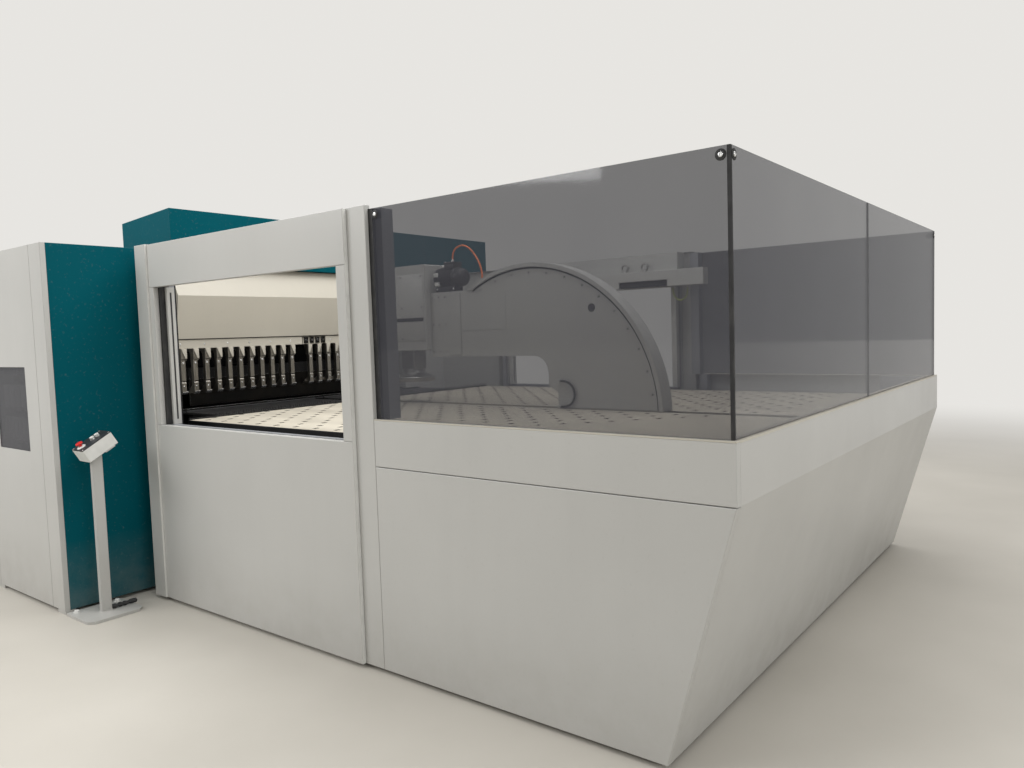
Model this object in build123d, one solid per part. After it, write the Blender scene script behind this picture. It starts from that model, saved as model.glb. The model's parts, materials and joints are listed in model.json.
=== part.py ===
from build123d import *
import math
import os

# Folding machine: an automatic panel bender inside its guarded worktable.
# Working frame, in millimetres: x runs along the front, 0 at the right end of the enclosure
# and negative to the left; y runs from the front face of the glazed bay into the machine;
# z is up from the floor. Every piece is moved to the centre of the footprint when it is written.

# Main levels
floor_gap = 20.0
table_top = 1056.0
fold_line_z = 957.0
sill_z = 1170.0
glass_top = 2103.0
portal_sill_z = 1062.0
beam_bottom = 1867.0
beam_top = 2117.0
post_top = 2120.0
cabinet_top = 2128.0
housing_base = 2098.0
housing_top = 2500.0

# Main lengths along the front, from the right end
enclosure_depth = 3400.0
bay_length = 1684.0
post_width = 124.0
portal_length = 1739.0
left_post_width = 120.0
cabinet_gap = 156.0

# Sheet metal
sheet = 3.0
panel_depth = 30.0
panel_bend = 2.0
joint_gap = 3.0
side_joint = 1.0
seat_gap = 0.3
side_lean = 263.0
portal_step = 20.0
post_step = 12.0
front_lip = 5.0
side_lip = 8.0
wall_tube = 60.0
frame_tube = 100.0
side_seam = 2667.0

# Glass
pane = 8.0
front_setback = 20.0
side_setback = 14.0
corner_strip = 12.0
middle_strip = 5.0
post_seal = 28.0
bolt_head = 26.0
bolt_proud = 6.0
bolt_inset = 46.0
bolt_drop = 28.0
glass_post = 68.0

# Portal openings, front and rear
left_jamb = 48.0
right_jamb = 64.0
light_curtain_depth = 45.0
light_curtain_width = 40.0
portal_seal_depth = 30.0
portal_seal_width = 40.0

# Gate housing inside the rear opening
gate_depth = 110.0
gate_shelf = 90.0
gate_step_z = 1974.0
gate_bottom = 1850.0
gate_overrun = 66.0
shelf_overrun = 313.0
gate_slot_end = 21.0
gate_slot_length = 421.0
gate_slot_height = 52.0
gate_eye_end = 190.0
gate_eye_pitch = 176.0
eye_ring = 33.0
eye_bore = 19.0
eye_thickness = 13.0
gate_hose_end = 48.0
gate_hose_span = 120.0
gate_hose_drop = 98.0
gate_hose_radius = 5.0
gate_stub = 14.0

# Worktable
table_margin = 240.0
table_offset = 867.0
table_right = -70.0
plate = 10.0
travel_slot = 90.0
slot_length = 26.0
slot_width = 36.0
slot_pitch_x = 176.0
slot_pitch_y = 196.0
slot_rows = 7
slot_columns = 8
end_columns = 2
first_row = 127.0
first_column = 24.0
plain_corner = 2290.0
plate_joint = 2.0
table_tube = 100.0
table_tube_height = 140.0
leg_inset = 170.0
edge_trim = 34.0
blade_seat = 20.0
blade_seat_depth = 40.0
beam_flank = 110.0
brush_depth = 14.0
brush_height = 9.0
rotor_lane = 170.0

# Bending unit, set out from the bending line
bend_offset = 845.0
frame_plate = 80.0
frame_span = 1960.0
frame_web = 280.0
frame_clearance = 90.0
upper_limb = 108.0
limb_step = 20.0
throat_depth = 400.0
throat_low = 880.0
throat_high = 1560.0
throat_radius = 80.0
tie_plate = 120.0
press_floor = 160.0
hood_reach = 112.0
housing_front = 606.0
rear_cabinet_length = 915.0
rear_cabinet_half = 1505.0
cover_depth = 685.0
cover_fall = 40.0
cover_rail = 30.0
hood_bottom = 1567.0
hood_knee = 1879.0
hood_bulge = 50.0
hood_lean = 60.0
hood_length = 2180.0
hood_side = 300.0

# Blankholder and its row of tools
tool_pitch = 95.0
tool_count = 11
tool_width = 44.0
tool_depth = 60.0
tool_nose = 40.0
tool_toe_z = 1167.0
tool_top_z = 1497.0
tool_split = 176.0
tool_setback = 12.0
tool_head = 76.0
holder_bar = 64.0
holder_bar_depth = 84.0
changer_length = 250.0
beam_height = 400.0
beam_setback = 72.0
beam_overhang = 1155.0

# Bending blades
blade_web = 60.0
blade_limb = 80.0
blade_thickness = 16.0
blade_gap = 26.0
blade_reach = 200.0
blade_clearance = 4.0
blade_retract = 40.0
crosshead = 30.0
guide_lap = 60.0

# Lower beam and bridge
lower_beam_reach = 162.0
counter_blade_height = 16.0
counter_blade_width = 80.0
bridge_thickness = 12.0
bridge_drop = 4.0
bridge_bar = 16.0
bridge_bar_inset = 135.0
bridge_rib = 40.0
bridge_rib_drop = 90.0
bridge_rib_inset = 130.0

# Manipulator
disc_x = -2033.0
disc_z = 1033.0
disc_radius = 941.0
rim_width = 120.0
rim_thickness = 26.0
face_recess = 12.0
foot_gap = 3.0
arm_bottom = 1385.0
arm_top = 1831.0
throat_end_x = -1885.0
throat_corner = 110.0
lower_jaw_top = 1157.0
lower_jaw_x = -1815.0
spy_hole = 42.0
spy_hole_x = -1557.0
spy_hole_z = 1671.0
head_left = -3345.0
head_right = -2880.0
head_top = 2030.0
head_bottom = 1433.0
head_width = 200.0
rotor_x = -3112.0
ram_size = 130.0
ram_length = 420.0
rotor_radius = 150.0
rotor_height = 90.0
rotor_neck = 78.0
rotor_edge = 34.0
rotor_shoulder = 60.0
rotor_sides = 32
rotor_open = 150.0
lower_rotor_radius = 40.0
lower_rotor_height = 60.0
carriage_height = 240.0
carriage_top = 900.0
carriage_width = 400.0
carriage_lead = 300.0
carriage_tail = 60.0
rotor_arm = 120.0
rail_width = 20.0
rail_end = 60.0
shoe_width = 30.0
motor_radius = 74.0
motor_length = 250.0
motor_x = -2580.0
motor_stand = 22.0
running_gap = 0.3
arm_rib_x = -2700.0
arm_rib_width = 100.0
hose_x = -2700.0
hose_end_x = -2440.0
hose_end_z = 1900.0
hose_radius = 6.0
cable_radius = 7.0
gland_x = -1812.0
gland_width = 26.0
gland_depth = 30.0
gland_high = 1228.0
gland_low = 1068.0
tube_sides = 4

# Cabinet at the left
cabinet_front = -489.0
cabinet_depth = 789.0
screen_line = 98.0
cabinet_clearance = 15.0
corner_stile = 152.0
door_width = 777.0
window_width = 450.0
window_height = 500.0
window_bottom = 927.0
window_margin = 165.0
cabinet_foot = 95.0

# Control pedestal
pedestal_offset = 170.0
pedestal_y = -337.0
foot_plate_x = 290.0
foot_plate_y = 310.0
foot_plate_thickness = 16.0
column_x = 30.0
column_y = 56.0
box_length = 185.0
box_height = 80.0
box_width = 130.0
box_tilt = 30.0
box_centre_y = -336.0
box_centre_z = 970.0
box_wall = 3.0
box_corner = 3.0
lid_thickness = 5.0
stop_radius = 20.0
stop_stem = 9.0
stop_height = 26.0
button_radius = 13.0
button_stem = 8.0
button_height = 12.0
button_clearance = 0.3
stop_place = -62.0
start_place = 12.0
reset_place = 42.0
fitting_radius = 14.0
fitting_length = 144.0
fitting_offset = 12.0

# Reach of the cutting bodies that pass right through a piece
through = 6000.0

# Worked out from the values above
portal_right = -(bay_length + post_width)
portal_left = portal_right - portal_length
left_post_left = portal_left - left_post_width
centre_y = enclosure_depth / 2
bend_line_x = left_post_left - bend_offset
upper_limb_x = bend_line_x - upper_limb
lower_limb_x = upper_limb_x + limb_step
throat_x = upper_limb_x - throat_depth
frame_back = throat_x - frame_web
housing_left = frame_back - frame_clearance
hood_front_x = bend_line_x + hood_reach
housing_right = hood_front_x
cover_back_x = housing_right - cover_depth
housing_joint = centre_y + rear_cabinet_half
housing_rear = housing_joint + rear_cabinet_length
tool_face_x = hood_front_x - tool_setback
lower_beam_front = bend_line_x + lower_beam_reach
table_left = bend_line_x + table_offset
table_bottom = table_top - plate
cabinet_right = left_post_left - cabinet_gap
cabinet_left = housing_left
cabinet_back = cabinet_front + cabinet_depth
pedestal_x = cabinet_right + pedestal_offset
front_limit = pedestal_y - foot_plate_y / 2
origin_x = cabinet_left / 2
origin_y = (front_limit + housing_rear) / 2

parts = {}


def slab(x, y, z):
    """Block between the low and high value along each axis."""
    size = Box(x[1] - x[0], y[1] - y[0], z[1] - z[0])
    return Pos((x[0] + x[1]) / 2, (y[0] + y[1]) / 2, (z[0] + z[1]) / 2) * size


def mirrored(shape):
    """The same piece on the other side of the enclosure's middle plane."""
    return shape.mirror(Plane.XZ.offset(-centre_y))


def both_sides(shape):
    return Compound(children=[shape, mirrored(shape)])


def prism(points, y):
    """Solid of an outline in the x-z plane, between two y values."""
    outline = Plane.XZ * make_face(Polyline(*points, close=True))
    return Pos(0, y[1], 0) * extrude(outline, y[1] - y[0])


def folded(points, depth=panel_depth):
    """Folded panel of an x-z outline: face at y = 0 towards -y, returns all round, open at the back."""
    face = make_face(Polyline(*points, close=True))
    body = Pos(0, depth, 0) * extrude(Plane.XZ * face, depth)
    body = chamfer(body.faces().sort_by(Axis.Y)[0].edges(), panel_bend)
    inner = Plane.XZ * offset(face, amount=-sheet, kind=Kind.INTERSECTION)
    return body - Pos(0, depth + 1, 0) * extrude(inner, depth + 1 - sheet)


def tray(width, height, depth=panel_depth):
    """Rectangular folded panel."""
    return folded([(0, 0), (width, 0), (width, height), (0, height)], depth)


def front_tray(x, z, y, depth=panel_depth):
    return Pos(x[0], y, z[0]) * tray(x[1] - x[0], z[1] - z[0], depth)


def right_tray(y, z, x, depth=panel_depth):
    """Folded panel that faces +x."""
    return Pos(x, y[0], z[0]) * Rot(0, 0, 90) * tray(y[1] - y[0], z[1] - z[0], depth)


def left_tray(y, z, x, depth=panel_depth):
    """Folded panel that faces -x."""
    return Pos(x, y[1], z[0]) * Rot(0, 0, -90) * tray(y[1] - y[0], z[1] - z[0], depth)


def rear_tray(x, z, y, depth=panel_depth):
    """Folded panel that faces +y."""
    return Pos(x[1], y, z[0]) * Rot(0, 0, 180) * tray(x[1] - x[0], z[1] - z[0], depth)


def rod(x, y, z, radius):
    """Round bar along the one axis whose two values differ."""
    if x[0] != x[1]:
        return Pos((x[0] + x[1]) / 2, y[0], z[0]) * Rot(0, 90, 0) * Cylinder(radius, x[1] - x[0])
    if y[0] != y[1]:
        return Pos(x[0], (y[0] + y[1]) / 2, z[0]) * Rot(90, 0, 0) * Cylinder(radius, y[1] - y[0])
    return Pos(x[0], y[0], (z[0] + z[1]) / 2) * Cylinder(radius, z[1] - z[0])


# Enclosure: floor frame, posts and panels

def lean_at(z):
    """How far the side panel has leaned in at a height below its fold."""
    return side_lean * (fold_line_z - z) / (fold_line_z - floor_gap)


def base_frame():
    """Welded tubes: floor rails, uprights under the sills and tubes behind the portals."""
    right = -side_lean - sheet - side_joint
    left = left_post_left
    low = floor_gap
    high = low + frame_tube
    near = panel_depth + seat_gap
    far = near + wall_tube
    across = (far, enclosure_depth - far)
    side = -sheet - seat_gap
    stand_top = sill_z - side_lip - seat_gap
    sill = (stand_top - wall_tube, stand_top)
    half_tube = wall_tube / 2
    rail = portal_sill_z - seat_gap
    post = portal_right + seat_gap
    lintel = beam_top - 2 * wall_tube
    half = [slab((left, right), (near, far), (low, high)), slab((right, side - wall_tube), (near, far), sill)]
    for x in (right - wall_tube, -bay_length + wall_tube):
        half.append(slab((x, x + wall_tube), (near, far), (high, stand_top)))
    half += [
        slab((portal_left + half_tube, post - half_tube), (near, near + half_tube), (rail - wall_tube, rail)),
        slab((portal_left, post), (near, far), (lintel, lintel + wall_tube)),
        slab((post - half_tube, post), (near, near + half_tube), (high, lintel)),
        slab((portal_left, portal_left + half_tube), (near, far), (high, rail)),
        slab((portal_left, portal_left + half_tube), (far, far + half_tube), (high, lintel + wall_tube)),
    ]
    ties = [slab((right - wall_tube, right), across, (low, high)),
            slab((left, left + wall_tube), across, (low, high)),
            slab((side - wall_tube, side), (near, enclosure_depth - near), sill)]
    return Compound(children=half + [mirrored(tube_piece) for tube_piece in half] + ties)


def levelling_feet():
    pads = []
    pad = 28.0
    nut = 14.0
    pad_height = 8.0
    xs = (left_post_left + pad, (left_post_left - bay_length) / 2, -bay_length, -side_lean - 2 * pad)
    for x in xs:
        for y in (panel_depth + wall_tube / 2, enclosure_depth - panel_depth - wall_tube / 2):
            foot = extrude(RegularPolygon(pad, 6), pad_height)
            foot += Pos(0, 0, pad_height) * extrude(RegularPolygon(nut, 6), floor_gap - pad_height)
            pads.append(Pos(x, y, 0) * foot)
    return Compound(children=pads)


def kick_plinth():
    """Dark skirt set back under the panels."""
    setback = panel_depth + wall_tube + 2 * seat_gap
    z = (floor_gap / 4, floor_gap + frame_tube)
    corner = -side_lean - 2 * wall_tube
    front = slab((left_post_left + 2 * wall_tube, corner), (setback, setback + sheet), z)
    side = slab((corner - sheet, corner), (setback + sheet, enclosure_depth - setback - sheet), z)
    return front + mirrored(front) + side


def portal_posts():
    """The tall folded posts at both ends of the front and rear openings."""
    right = front_tray((portal_right, -bay_length), (floor_gap, post_top), 0)
    step = portal_step + post_step
    left = front_tray((left_post_left, portal_left), (floor_gap, post_top), -step, panel_depth + step)
    return Compound(children=[right, left, mirrored(right), mirrored(left)])


def portal_frames():
    """Header panel and upright jambs round each opening."""
    beam = front_tray((portal_left, portal_right), (beam_bottom + side_joint, beam_top), -portal_step)
    z = (portal_sill_z + side_joint, beam_bottom)
    left = front_tray((portal_left, portal_left + left_jamb), z, -portal_step)
    right = front_tray((portal_right - right_jamb, portal_right), z, -portal_step)
    side = [beam, left, right]
    return Compound(children=side + [mirrored(piece) for piece in side])


def portal_lower_panels():
    panel = front_tray((portal_left, portal_right), (floor_gap, portal_sill_z), -portal_step)
    return both_sides(panel)


def bay_lower_panels():
    """Front panel under the fold line; its right edge follows the leaning side."""
    left = -bay_length + side_joint
    top = fold_line_z - joint_gap
    corners = [(left, floor_gap), (-side_lean, floor_gap), (-lean_at(top), top), (left, top)]
    return both_sides(folded(corners))


def bay_bands():
    """Upright band above the fold line; its end fold makes the corner."""
    band = front_tray((-bay_length + side_joint, 0), (fold_line_z, sill_z - front_lip), 0)
    return both_sides(band)


def side_sheet(y):
    """One folded side sheet: upright band over a lower part that leans in to the floor."""
    top = sill_z - side_lip
    outer = [(-side_lean, floor_gap), (0, fold_line_z), (0, top)]
    inner = [(x - sheet, z) for x, z in reversed(outer)]
    return prism(outer + inner, y)


def side_panels():
    start = panel_depth + side_joint
    front = side_sheet((start, side_seam))
    rear = side_sheet((side_seam + side_joint, enclosure_depth - start))
    return Compound(children=[front, rear])


def sill_trim():
    """Pale strip along the top of the bands, on three sides."""
    width = panel_depth + front_setback
    front = slab((-bay_length + side_joint, 0), (0, width), (sill_z - front_lip, sill_z))
    side = slab((-width, 0), (panel_depth + side_joint, enclosure_depth - panel_depth - side_joint),
                (sill_z - side_lip, sill_z))
    return front + mirrored(front) + side


# Glass and what holds it

def bay_glass():
    front = slab((-bay_length + post_seal, -corner_strip - side_setback),
                 (front_setback, front_setback + pane),
                 (sill_z, glass_top))
    return both_sides(front)


def side_glass():
    """Two smoked panes that stand on the side sill."""
    x = (-side_setback - pane, -side_setback)
    low = front_setback + corner_strip
    front = slab(x, (low, centre_y - middle_strip / 2), (sill_z, glass_top))
    return both_sides(front)


def rubber_seals():
    """Dark rubber strips: at the glass corners, the middle joint and beside the posts."""
    low = front_setback + corner_strip
    corner = slab((-side_setback - corner_strip, -side_setback), (front_setback, low), (sill_z, glass_top))
    corner = chamfer(corner.edges().filter_by(Axis.Z).sort_by(Axis.Y)[:2].sort_by(Axis.X)[-1:], 3)
    post = slab((-bay_length, -bay_length + post_seal), (front_setback, front_setback + 2 * pane),
                (sill_z, glass_top))
    middle = slab((-side_setback - pane, -side_setback),
                  (centre_y - middle_strip / 2, centre_y + middle_strip / 2), (sill_z, glass_top))
    curtain = portal_left + left_jamb + 20
    back = panel_depth - portal_step + seat_gap
    jamb = slab((curtain - portal_seal_width, curtain), (back, back + portal_seal_depth),
                (portal_sill_z, beam_bottom))
    gate = slab(inside(gate_slot_x()), (gate_shelf_y()[0] + 12, gate_shelf_y()[1] - 12),
                (gate_bottom + 6, gate_bottom + gate_slot_height - seat_gap))
    solids = [corner, mirrored(corner), post, mirrored(post), middle, jamb, mirrored(jamb), gate]
    return Compound(children=solids)


def glass_bolts():
    """Round bolt heads near the top corners of the panes."""
    level = glass_top - bolt_drop
    bolts = []
    for x in (-bolt_inset, -bay_length + bolt_inset):
        head = extrude(Plane.XZ * RegularPolygon(bolt_head / 2, 8), bolt_proud)
        bolts.append(Pos(x, front_setback, level) * head)
    head = extrude(Plane.YZ * RegularPolygon(bolt_head / 2, 8), bolt_proud)
    bolts.append(Pos(-side_setback, bolt_inset, level) * head)
    return Compound(children=bolts + [mirrored(bolt) for bolt in bolts])


def glass_posts():
    """Square grey posts behind the panes, next to the portal."""
    y = front_setback + 2 * pane + seat_gap
    near = slab((-bay_length + seat_gap, -bay_length + glass_post), (y, y + glass_post), (sill_z, glass_top))
    return both_sides(near)


def light_curtains():
    """Pale upright rails of the light barriers, one at each side of each opening."""
    left = portal_left + left_jamb + 40 - light_curtain_width
    left_y = panel_depth - portal_step + portal_seal_depth + 2 * seat_gap
    right = portal_right - light_curtain_width
    right_y = panel_depth + wall_tube / 2 + 2 * seat_gap

    def pair(top):
        rails = []
        for x, y in ((left, left_y), (right, right_y)):
            rails.append(slab((x, x + light_curtain_width), (y, y + light_curtain_depth),
                              (portal_sill_z, top)))
        return rails

    rear = [mirrored(rail) for rail in pair(gate_bottom - seat_gap)]
    return Compound(children=pair(beam_bottom) + rear)


def gate_shelf_y():
    """Front and back of the lower, stepped part of the gate housing."""
    back = enclosure_depth - panel_depth - wall_tube - 2 * seat_gap - gate_depth
    return back - gate_shelf, back


def gate_slot_x():
    """Ends of the slot for the sealing strip, from its right end."""
    right = portal_right + gate_slot_end
    return right - gate_slot_length, right


def inside(ends):
    """The same length with a seat gap at both ends."""
    return ends[0] + seat_gap, ends[1] - seat_gap


def gate_hose_x():
    left = portal_right + gate_hose_end
    return left, left + gate_hose_span


def rear_gate():
    """Long housing of the unloading gate, stepped, over the inside of the rear opening."""
    front, middle = gate_shelf_y()
    left = portal_left + wall_tube
    upper = slab((left, portal_right + gate_overrun), (middle - sheet, middle + gate_depth),
                 (gate_step_z, beam_top - 2 * joint_gap))
    lower = slab((left, portal_right + shelf_overrun), (front, middle), (gate_bottom, gate_step_z))
    base = slab((left, portal_right - joint_gap), (middle, middle + gate_depth), (gate_bottom, gate_step_z))
    slot = slab(gate_slot_x(), (front - 1, middle - 10), (gate_bottom - 1, gate_bottom + gate_slot_height))
    housing = chamfer((lower + upper + base).edges().filter_by(Axis.X).group_by(Axis.Y)[0], panel_bend) - slot
    y = (front + middle) / 2
    for x in gate_hose_x():
        stub = extrude(RegularPolygon(2 * gate_hose_radius, 6), gate_stub)
        housing += Pos(x, y, gate_bottom - gate_stub) * stub
    return housing


def lifting_eyes():
    """Two ring eyes that stand on the shelf of the gate housing."""
    y = sum(gate_shelf_y()) / 2
    ring = Plane.XZ * (RegularPolygon(eye_ring, 12) - RegularPolygon(eye_bore, 12))
    ring = Pos(0, eye_thickness / 2, 0) * extrude(ring, eye_thickness)
    foot = slab((-eye_bore, eye_bore), (-eye_thickness, eye_thickness), (-eye_ring - 6, 2 - eye_ring))
    place = gate_step_z + eye_ring + 6
    first = portal_right - gate_eye_end - gate_eye_pitch
    return Compound(children=[Pos(x, y, place) * (ring + foot) for x in (first, first + gate_eye_pitch)])


def gate_hose():
    """Thin hose that hangs in a loop under the gate housing."""
    x0, x1 = gate_hose_x()
    y = sum(gate_shelf_y()) / 2
    top = gate_bottom - gate_stub
    low = gate_bottom - gate_stub - gate_hose_drop
    points = [(x0, y, top), (x0, y, top - 40), (x0 + 17, y, top - 75), (x0 + 48, y, low + 2),
              (x1 - 36, y, low + 5), (x1 - 9, y, top - 66), (x1, y, top - 33), (x1, y, top)]
    return tube(points, gate_hose_radius)


# Worktable

def table_plates(plain):
    """Three slotted plates of the front half of the table; the corner past a diagonal may be plain."""
    first = table_left + first_column
    seam = first - slot_pitch_x / 2 + slot_columns * slot_pitch_x
    seams = [table_left, seam, seam + slot_columns * slot_pitch_x, table_right]
    y = (table_margin, centre_y - travel_slot / 2)
    plates = []
    for i, count in enumerate((slot_columns, slot_columns, end_columns)):
        cuts = []
        for column in range(count):
            x = first + (i * slot_columns + column) * slot_pitch_x
            for row in range(slot_rows):
                mid = centre_y - first_row - row * slot_pitch_y
                if plain and mid < x + plain_corner:
                    continue
                cuts.append(slab((x - slot_length / 2, x + slot_length / 2),
                                 (mid - slot_width / 2, mid + slot_width / 2),
                                 (table_bottom - 1, table_top + 1)))
        plate_body = slab((seams[i], seams[i + 1] - plate_joint), y, (table_bottom, table_top))
        plates.append(plate_body - cuts if cuts else plate_body)
    return plates


def table_trim():
    """Black edge strips: along the front and rear of the table, and the brush holders at its left."""
    strip = slab((table_left, table_right), (table_margin - plate, table_margin),
                 (table_top - edge_trim, table_top))
    brush = slab((table_left - brush_depth, table_left - seat_gap), (table_margin, centre_y - rotor_lane),
                 (table_top - edge_trim, table_top + brush_height))
    return Compound(children=[strip, mirrored(strip), brush, mirrored(brush)])


def lane_half():
    """Half the clear lane between the table's inner beams, for the carriage and its rails."""
    return carriage_width / 2 + rail_width + shoe_width


def table_frame():
    """Tube frame under the plates, with a clear lane in the middle for the carriage."""
    top = table_bottom
    low = top - table_tube_height
    lane = lane_half()
    near = table_margin + seat_gap
    inner = (centre_y - lane - table_tube, centre_y - lane)
    end = table_right - side_lean
    half = slab((table_left, end), (near, near + table_tube), (low, top))
    half += slab((table_left, end), inner, (low, top))
    last = end - leg_inset
    for x in (table_left + leg_inset, (table_left - bay_length) / 2, last):
        half += slab((x, x + table_tube), (near, near + table_tube), (0, low))
        half += slab((x, x + table_tube), inner, (0, low))
        half += slab((x, x + table_tube), (near + table_tube, inner[0]), (low, top))
    tie = slab((last, last + table_tube), (centre_y - lane, centre_y + lane),
               (floor_gap, table_tube + floor_gap))
    return half + mirrored(half) + tie


def travel_rails():
    """Two linear rails that carry the manipulator under the table."""
    low = table_bottom - table_tube_height
    lane = lane_half() - seat_gap
    rail = slab((table_left + rail_end, table_right - side_lean - table_tube - rail_end),
                (centre_y - lane, centre_y - lane + rail_width), (low + 30, low + 60))
    return both_sides(rail)


# Bending unit at the left

def frame_side():
    """Near face of the nearer C plate."""
    return centre_y - frame_span / 2 - frame_plate


def press_frame():
    """Two thick C plates, tied at the floor, at the back and at the top."""
    top = housing_base - seat_gap
    outline = [(frame_back, press_floor), (lower_limb_x, press_floor), (lower_limb_x, throat_low),
               (throat_x, throat_low), (throat_x, throat_high), (upper_limb_x, throat_high),
               (upper_limb_x, top), (frame_back, top)]
    y0 = frame_side()
    y1 = 2 * centre_y - y0
    side = prism(outline, (y0, y0 + frame_plate))
    corners = side.edges().filter_by(Axis.Y).filter_by(lambda e: abs(e.center().X - throat_x) < 1)
    side = fillet(corners, throat_radius)
    base = slab((frame_back, lower_beam_front), (y0, y1), (floor_gap, press_floor))
    tie = slab((frame_back, frame_back + tie_plate), (y0 + frame_plate, y1 - frame_plate),
               (throat_low, throat_high))
    head = slab((frame_back, upper_limb_x - tie_plate), (y0 + frame_plate, y1 - frame_plate),
                (top - frame_plate, top))
    frame = side + mirrored(side) + base + tie + head
    for x in (frame_back + tie_plate, lower_beam_front - tie_plate):
        for y in (y0 + tie_plate, y1 - tie_plate):
            frame += Pos(x, y, 0) * extrude(RegularPolygon(tie_plate / 2, 12), floor_gap)
    return frame


def upper_housing():
    """Tall painted cover over the drives, its roof falling to the back: two boxes with an upright joint."""
    outline = [(cover_back_x, housing_base), (housing_right, housing_base), (housing_right, housing_top),
               (cover_back_x, housing_top - cover_fall)]
    inner = [(cover_back_x + sheet, housing_base - 1), (housing_right - sheet, housing_base - 1),
             (housing_right - sheet, housing_top - sheet),
             (cover_back_x + sheet, housing_top - cover_fall - sheet)]
    boxes = []
    for y in ((housing_front, housing_joint - side_joint), (housing_joint, housing_rear)):
        box = prism(outline, y)
        box = chamfer(box.edges().filter_by(Axis.Z) + box.faces().sort_by(Axis.Z)[-1].edges(), panel_bend)
        boxes.append(box - prism(inner, (y[0] + sheet, y[1] - sheet)))
    for low in (frame_side(), 2 * centre_y - frame_side() - frame_plate):
        boxes[0] += slab((cover_back_x + sheet, housing_right - sheet), (low, low + frame_plate),
                         (housing_base, housing_base + cover_rail))
    return Compound(children=boxes)


def press_hood():
    """Pale hood over the blankholder beam: two folded front faces, end walls, open below and above."""
    top = housing_base - seat_gap
    front = hood_front_x
    knee = hood_front_x + hood_bulge
    lean = hood_front_x - hood_lean
    back = hood_front_x - hood_side
    y = (centre_y - hood_length / 2, centre_y + hood_length / 2)
    body = prism([(front, hood_bottom), (knee, hood_knee), (lean, top), (back, top), (back, hood_bottom)], y)
    inner = prism([(front - sheet, hood_bottom - 1), (front - sheet, hood_bottom), (knee - sheet, hood_knee),
                   (lean - sheet, top), (lean - sheet, top + 1), (back - 1, top + 1),
                   (back - 1, hood_bottom - 1)],
                  (y[0] + sheet, y[1] - sheet))
    bracket = slab((back, upper_limb_x - 20), (y[0] + sheet, frame_side() - seat_gap), (top - 160, top - 40))
    return body - inner + bracket + mirrored(bracket)


def rear_start():
    """Where the closed cabinet behind the press begins."""
    return centre_y + beam_overhang + cabinet_clearance


def press_panels():
    """Plain grey skins of the press: left side, closed cabinet behind it, and the infill beside it."""
    top = housing_base - seat_gap
    start = rear_start()
    side = left_tray((cabinet_back + seat_gap, start - seat_gap), (floor_gap, top), housing_left)
    box = slab((housing_left, housing_right), (start, housing_rear), (0, top))
    box = chamfer(box.edges().filter_by(Axis.Z), panel_bend)
    box -= slab((housing_left + sheet, housing_right - sheet), (start + sheet, housing_rear - sheet),
                (-1, top - sheet))
    infill = rear_tray((housing_right + seat_gap, left_post_left - seat_gap), (floor_gap, post_top),
                       enclosure_depth)
    roof = slab((housing_left, cover_back_x - joint_gap), (frame_side(), start - seat_gap),
                (housing_base, housing_base + sheet))
    return Compound(children=[side, box, infill, roof])


def dark_screens():
    """Dark inner sheets that close the gaps beside the front cabinet."""
    top = cabinet_top - panel_depth
    start = screen_line + seat_gap
    side = slab((cabinet_right - sheet, cabinet_right), (start, cabinet_back), (floor_gap, top))
    gap = slab((cabinet_right + seat_gap, left_post_left - seat_gap),
               (screen_line - 2 * sheet, screen_line - sheet), (floor_gap, top))
    return Compound(children=[side, gap])


def lower_beam():
    """Black beam under the bending line that carries the fixed lower blade."""
    y = (centre_y - beam_overhang, centre_y + beam_overhang)
    top = table_top - counter_blade_height
    back = bend_line_x + beam_setback
    outline = [(back, press_floor + seat_gap), (lower_beam_front, press_floor + seat_gap),
               (lower_beam_front, top), (bend_line_x + blade_seat, top),
               (bend_line_x + blade_seat, top - blade_seat_depth), (back, top - beam_flank)]
    return prism(outline, y)


def counter_blade():
    y = (centre_y - beam_overhang, centre_y + beam_overhang)
    z = (table_top - counter_blade_height, table_top)
    blade = slab((bend_line_x, bend_line_x + counter_blade_width), y, z)
    return chamfer(blade.edges().filter_by(Axis.Y).group_by(Axis.Z)[0].sort_by(Axis.X)[0], 8)


def bridge_plates():
    """Dark plates with a raised bar, between the lower beam and the table, split for the rotor."""
    top = table_top - bridge_drop
    x = (lower_beam_front + seat_gap, table_left - brush_depth - seat_gap)
    y = (centre_y - beam_overhang, centre_y - travel_slot / 2)
    half = slab(x, y, (top - bridge_thickness, top))
    bar = extrude(Plane.XZ * RegularPolygon(bridge_bar / 2, 8), y[1] - y[0])
    half += Pos(lower_beam_front + bridge_bar_inset, y[1], top + 4) * bar
    for start in (y[0] + bridge_rib_inset, (y[0] + y[1] - bridge_rib) / 2, y[1] - 3 * bridge_rib / 2):
        half += slab(x, (start, start + bridge_rib), (top - bridge_rib_drop, top - bridge_thickness))
    return both_sides(half)


def blankholder_beam():
    """Heavy moving beam in front of the C plates."""
    low = tool_top_z + holder_bar
    y = (centre_y - hood_length / 2 + 12, centre_y + hood_length / 2 - 12)
    front = hood_front_x - sheet - 12
    profile = [(upper_limb_x + seat_gap, low), (front, low), (front, hood_knee - 30),
               (front - hood_lean, low + beam_height), (upper_limb_x + seat_gap, low + beam_height)]
    return prism(profile, y)


def holder_bars():
    """Bars under the beam that hold the tools, and the changer block between them."""
    x = (tool_face_x - holder_bar_depth, tool_face_x)
    z = (tool_top_z, tool_top_z + holder_bar)
    front = slab(x, (centre_y - beam_overhang + 50, centre_y + 8), z)
    changer_end = centre_y + changer_length
    rear = slab(x, (changer_end, centre_y + beam_overhang - 50), z)
    block = slab((x[0], x[1] - 20), (centre_y + 30, changer_end - seat_gap), z)
    return Compound(children=[front, rear, block])


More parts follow.
